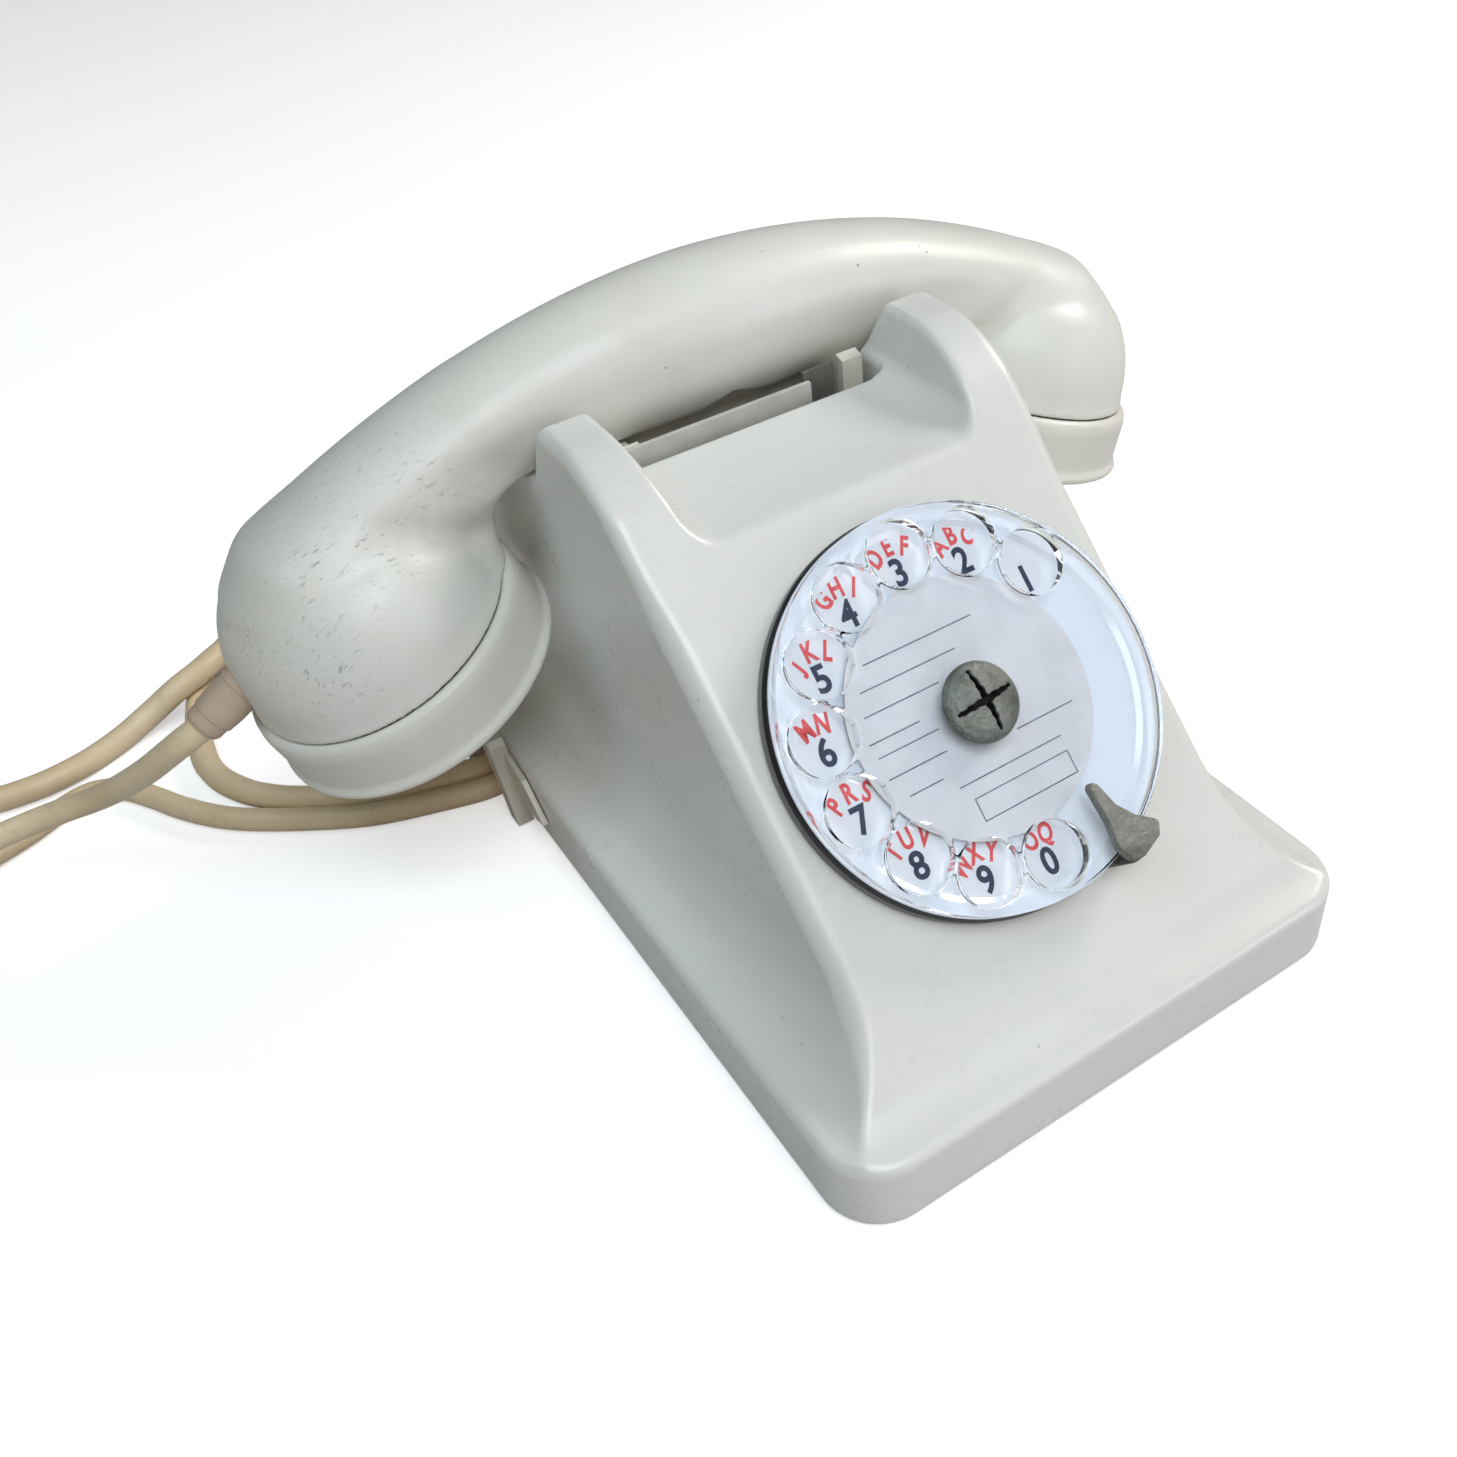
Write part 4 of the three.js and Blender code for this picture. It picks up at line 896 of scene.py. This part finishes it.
def screw_mesh():
    """The domed centre screw, with a deep rough cross cut in its head."""
    f = Field((-9.5, -9.5, 4.6), (9.5, 9.5, 14), 0.15)
    reach = np.hypot(f.x, f.y)
    profile = profile_field([(0, 5.3), (2.6, 5.3), (2.6, 9.5), (7.9, 9.57), (8.25, 10), (8.15, 10.6),
                             (7.4, 11.4), (5.8, 12.2), (3.2, 12.9), (0, SCREW_CROWN)], smooth=False, reach=3)
    body = profile(reach, f.z)
    turn = math.radians(SLOT_ANGLE)
    a = f.x * math.cos(turn) + f.y * math.sin(turn)
    b = -f.x * math.sin(turn) + f.y * math.cos(turn)
    for u, v in ((a, b), (b, a)):
        half = 0.78 - 0.07 * np.abs(u) + 0.1 * np.sin(u * 3.1 + v * 2)
        arm = np.maximum(np.maximum(np.abs(u) - 6.6, np.abs(v) - half), SLOT_FLOOR - f.z)
        body = without(body, arm, 0.15)
    return f.mesh("centre_screw", body)


def darken_slots(piece):
    """Gives the faces deep in the screw's slots a near-black painted shade, which also stands for oxide
    there.
    """
    piece.data.materials.append(SLOT_SHADE_AND_OXIDE)
    for face in piece.data.polygons:
        x, y, z = face.center / MM
        crown = SCREW_CROWN - 0.036 * (x * x + y * y)
        if math.hypot(x, y) < 7.2 and 10 < z < crown - 0.55:
            face.material_index = 1


def stop_mesh():
    """The finger stop: a curved blade over the wheel and a leg down to the case."""
    blade = [(11.6, -24.6), (12.5, -23.5), (13.7, -24.6), (15.3, -29.6), (18.2, -33.2), (22.6, -36.4),
             (21.2, -39.2), (15.8, -41.4), (13.2, -40.8), (11.6, -37.6), (12.1, -32)]
    leg = [(22.4, -37), (21.2, -39.4), (16, -41.8), (13.6, -41.8), (14.6, -40.6), (19.2, -38.4)]
    outline = filleted(blade, 1.2, 4)
    return joined("stop", prism("blade", outline, 10.1, 12.6, 0.5, segments=3),
                  prism("leg", filleted(leg, 0.5, 2), 0.3, 10.4, 0.2))


# ---- carried-over CAD pieces ----
def dress(node, material, bevel):
    """Keeps a CAD node's mesh, with bevelled edges and a real material."""
    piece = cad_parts[node]
    piece.data.materials.clear()
    piece.data.materials.append(material)
    rounding = piece.modifiers.new("edges", "BEVEL")
    rounding.width = bevel * MM
    rounding.segments = 2
    rounding.limit_method = "ANGLE"
    rounding.angle_limit = math.radians(35)


# Each node's material and the width of its bevels.
DRESSED = {
    "base_plate": (DARK_STEEL, 0.2), "cord_clamp": (CREAM, 0.35), "clamp_screw": (STEEL, 0.2),
    "ringer_frame": (STEEL, 0.2), "clapper_pin": (STEEL, 0.1), "capacitor": (TIN, 0.4),
    "induction_coil": (COPPER, 0.2), "terminal_block": (BROWN, 0.3), "hook_bracket": (DARK_STEEL, 0.15),
    "bracket_screw_left": (STEEL, 0.1), "bracket_screw_right": (STEEL, 0.1), "hook_pin": (STEEL, 0.1),
    "contact_pile": (BROWN, 0.1), "hook_spring": (STEEL, 0.1), "dial_frame": (STEEL, 0.15),
    "dial_spring": (DARK_STEEL, 0.1), "dial_contacts": (BROWN, 0.1), "ringer_coil_left": (COPPER, 0.2),
    "ringer_coil_right": (COPPER, 0.2), "gong_left": (BELL, 0.2), "gong_right": (BELL, 0.2),
    "gong_post_left": (STEEL, 0.2), "gong_post_right": (STEEL, 0.2), "transmitter": (TIN, 0.4),
    "receiver": (TIN, 0.4), "hook_lever": (SHEET, 0.2), "hook_pad_left": (CREAM, 0.6),
    "hook_pad_right": (CREAM, 0.6), "dial_shaft": (STEEL, 0.2), "dial_gear": (BRASS, 0.1),
    "pulse_cam": (BRASS, 0.1), "governor": (BRASS, 0.1), "clapper": (BRASS, 0.2), "line_plug": (CREAM, 0.5),
    **{f"foot_{a}_{b}": (FOOT_RUBBER, 0.3) for a in ("front", "rear") for b in ("left", "right")},
    **{f"base_screw_{a}_{b}": (STEEL, 0.1) for a in ("front", "rear") for b in ("left", "right")},
}

# ---- the object ----
for node, (material, bevel) in DRESSED.items():
    dress(node, material, bevel)
make_handset_cord()
make_line_cord()
add("housing_shell", housing_mesh(), IVORY, "base", "housing_ivory", "housing", smooth=180)
make_handset()
make_dial()


# ---- floor and light ----
# The floor glows a little, and is paler, where the camera sees it straight; its bounce stays soft.
FLOOR_LIFT, FLOOR_BOUNCE = 0.45, 0.6
FLOOR_REACH = 6
LAMP_AIM = Vector((0, 0, 0.05))
# Each lamp's name, place in metres, width, power and colour.
LAMPS = [
    ("right", (1.15, 0.0, 0.95), 0.5, 10.8, (1.0, 0.93, 0.87)),
    ("left", (-0.75, -0.1, 1.3), 0.9, 4.7, (0.62, 0.88, 1.0)),
    ("over_camera", (-0.1, -0.75, 1.2), 0.7, 9.2, (0.88, 0.94, 1.0)),
    ("front", (-0.5, -1.2, 0.9), 0.8, 2.4, (1.0, 0.75, 0.55)),
    ("low_right", (0.75, -1.15, 0.35), 0.6, 3.3, (0.92, 0.94, 1.0)),
    ("low_left", (-1.3, 0.1, 0.8), 0.9, 1.0, (1.0, 0.7, 0.5)),
]


def make_stage():
    t = Tree("floor_paper")
    cloud = t.ramp(t.noise(3, 3), 0.3, 0.7)
    sheet = t.mix(cloud, (0.93, 0.93, 0.93, 1), (0.91, 0.91, 0.915, 1))
    seen = t.node("ShaderNodeLightPath").outputs["Is Camera Ray"]
    t.set(t.shader.inputs["Base Color"], t.mix(seen, (FLOOR_BOUNCE, FLOOR_BOUNCE, FLOOR_BOUNCE, 1), sheet))
    t.shader.inputs["Emission Color"].default_value = (1, 1, 1, 1)
    t.set(t.shader.inputs["Emission Strength"], t.math("MULTIPLY", seen, FLOOR_LIFT))
    t.shader.inputs["Roughness"].default_value = 0.7
    t.shader.inputs["Specular IOR Level"].default_value = 0.2
    bm = bmesh.new()
    bm.faces.new([bm.verts.new((x * FLOOR_REACH, y * FLOOR_REACH, 0))
                  for x, y in ((-1, -1), (1, -1), (1, 1), (-1, 1))])
    floor = bpy.data.objects.new("floor", from_bmesh(bm, "floor"))
    bpy.context.scene.collection.objects.link(floor)
    floor.data.materials.append(t.material)

    for name, place, size, power, colour in LAMPS:
        data = bpy.data.lights.new(name, "AREA")
        data.shape = "SQUARE"
        data.size = size
        data.energy = power
        data.color = colour
        lamp = bpy.data.objects.new(name, data)
        lamp.location = place
        lamp.rotation_euler = (LAMP_AIM - Vector(place)).to_track_quat("-Z", "Y").to_euler()
        bpy.context.scene.collection.objects.link(lamp)
    world = bpy.data.worlds.new("studio")
    world.use_nodes = True
    sky = world.node_tree.nodes["Background"]
    sky.inputs["Color"].default_value = (0.95, 0.97, 1.0, 1)
    sky.inputs["Strength"].default_value = 0.02
    bpy.context.scene.world = world
    bpy.context.scene.view_settings.view_transform = "Standard"


make_stage()
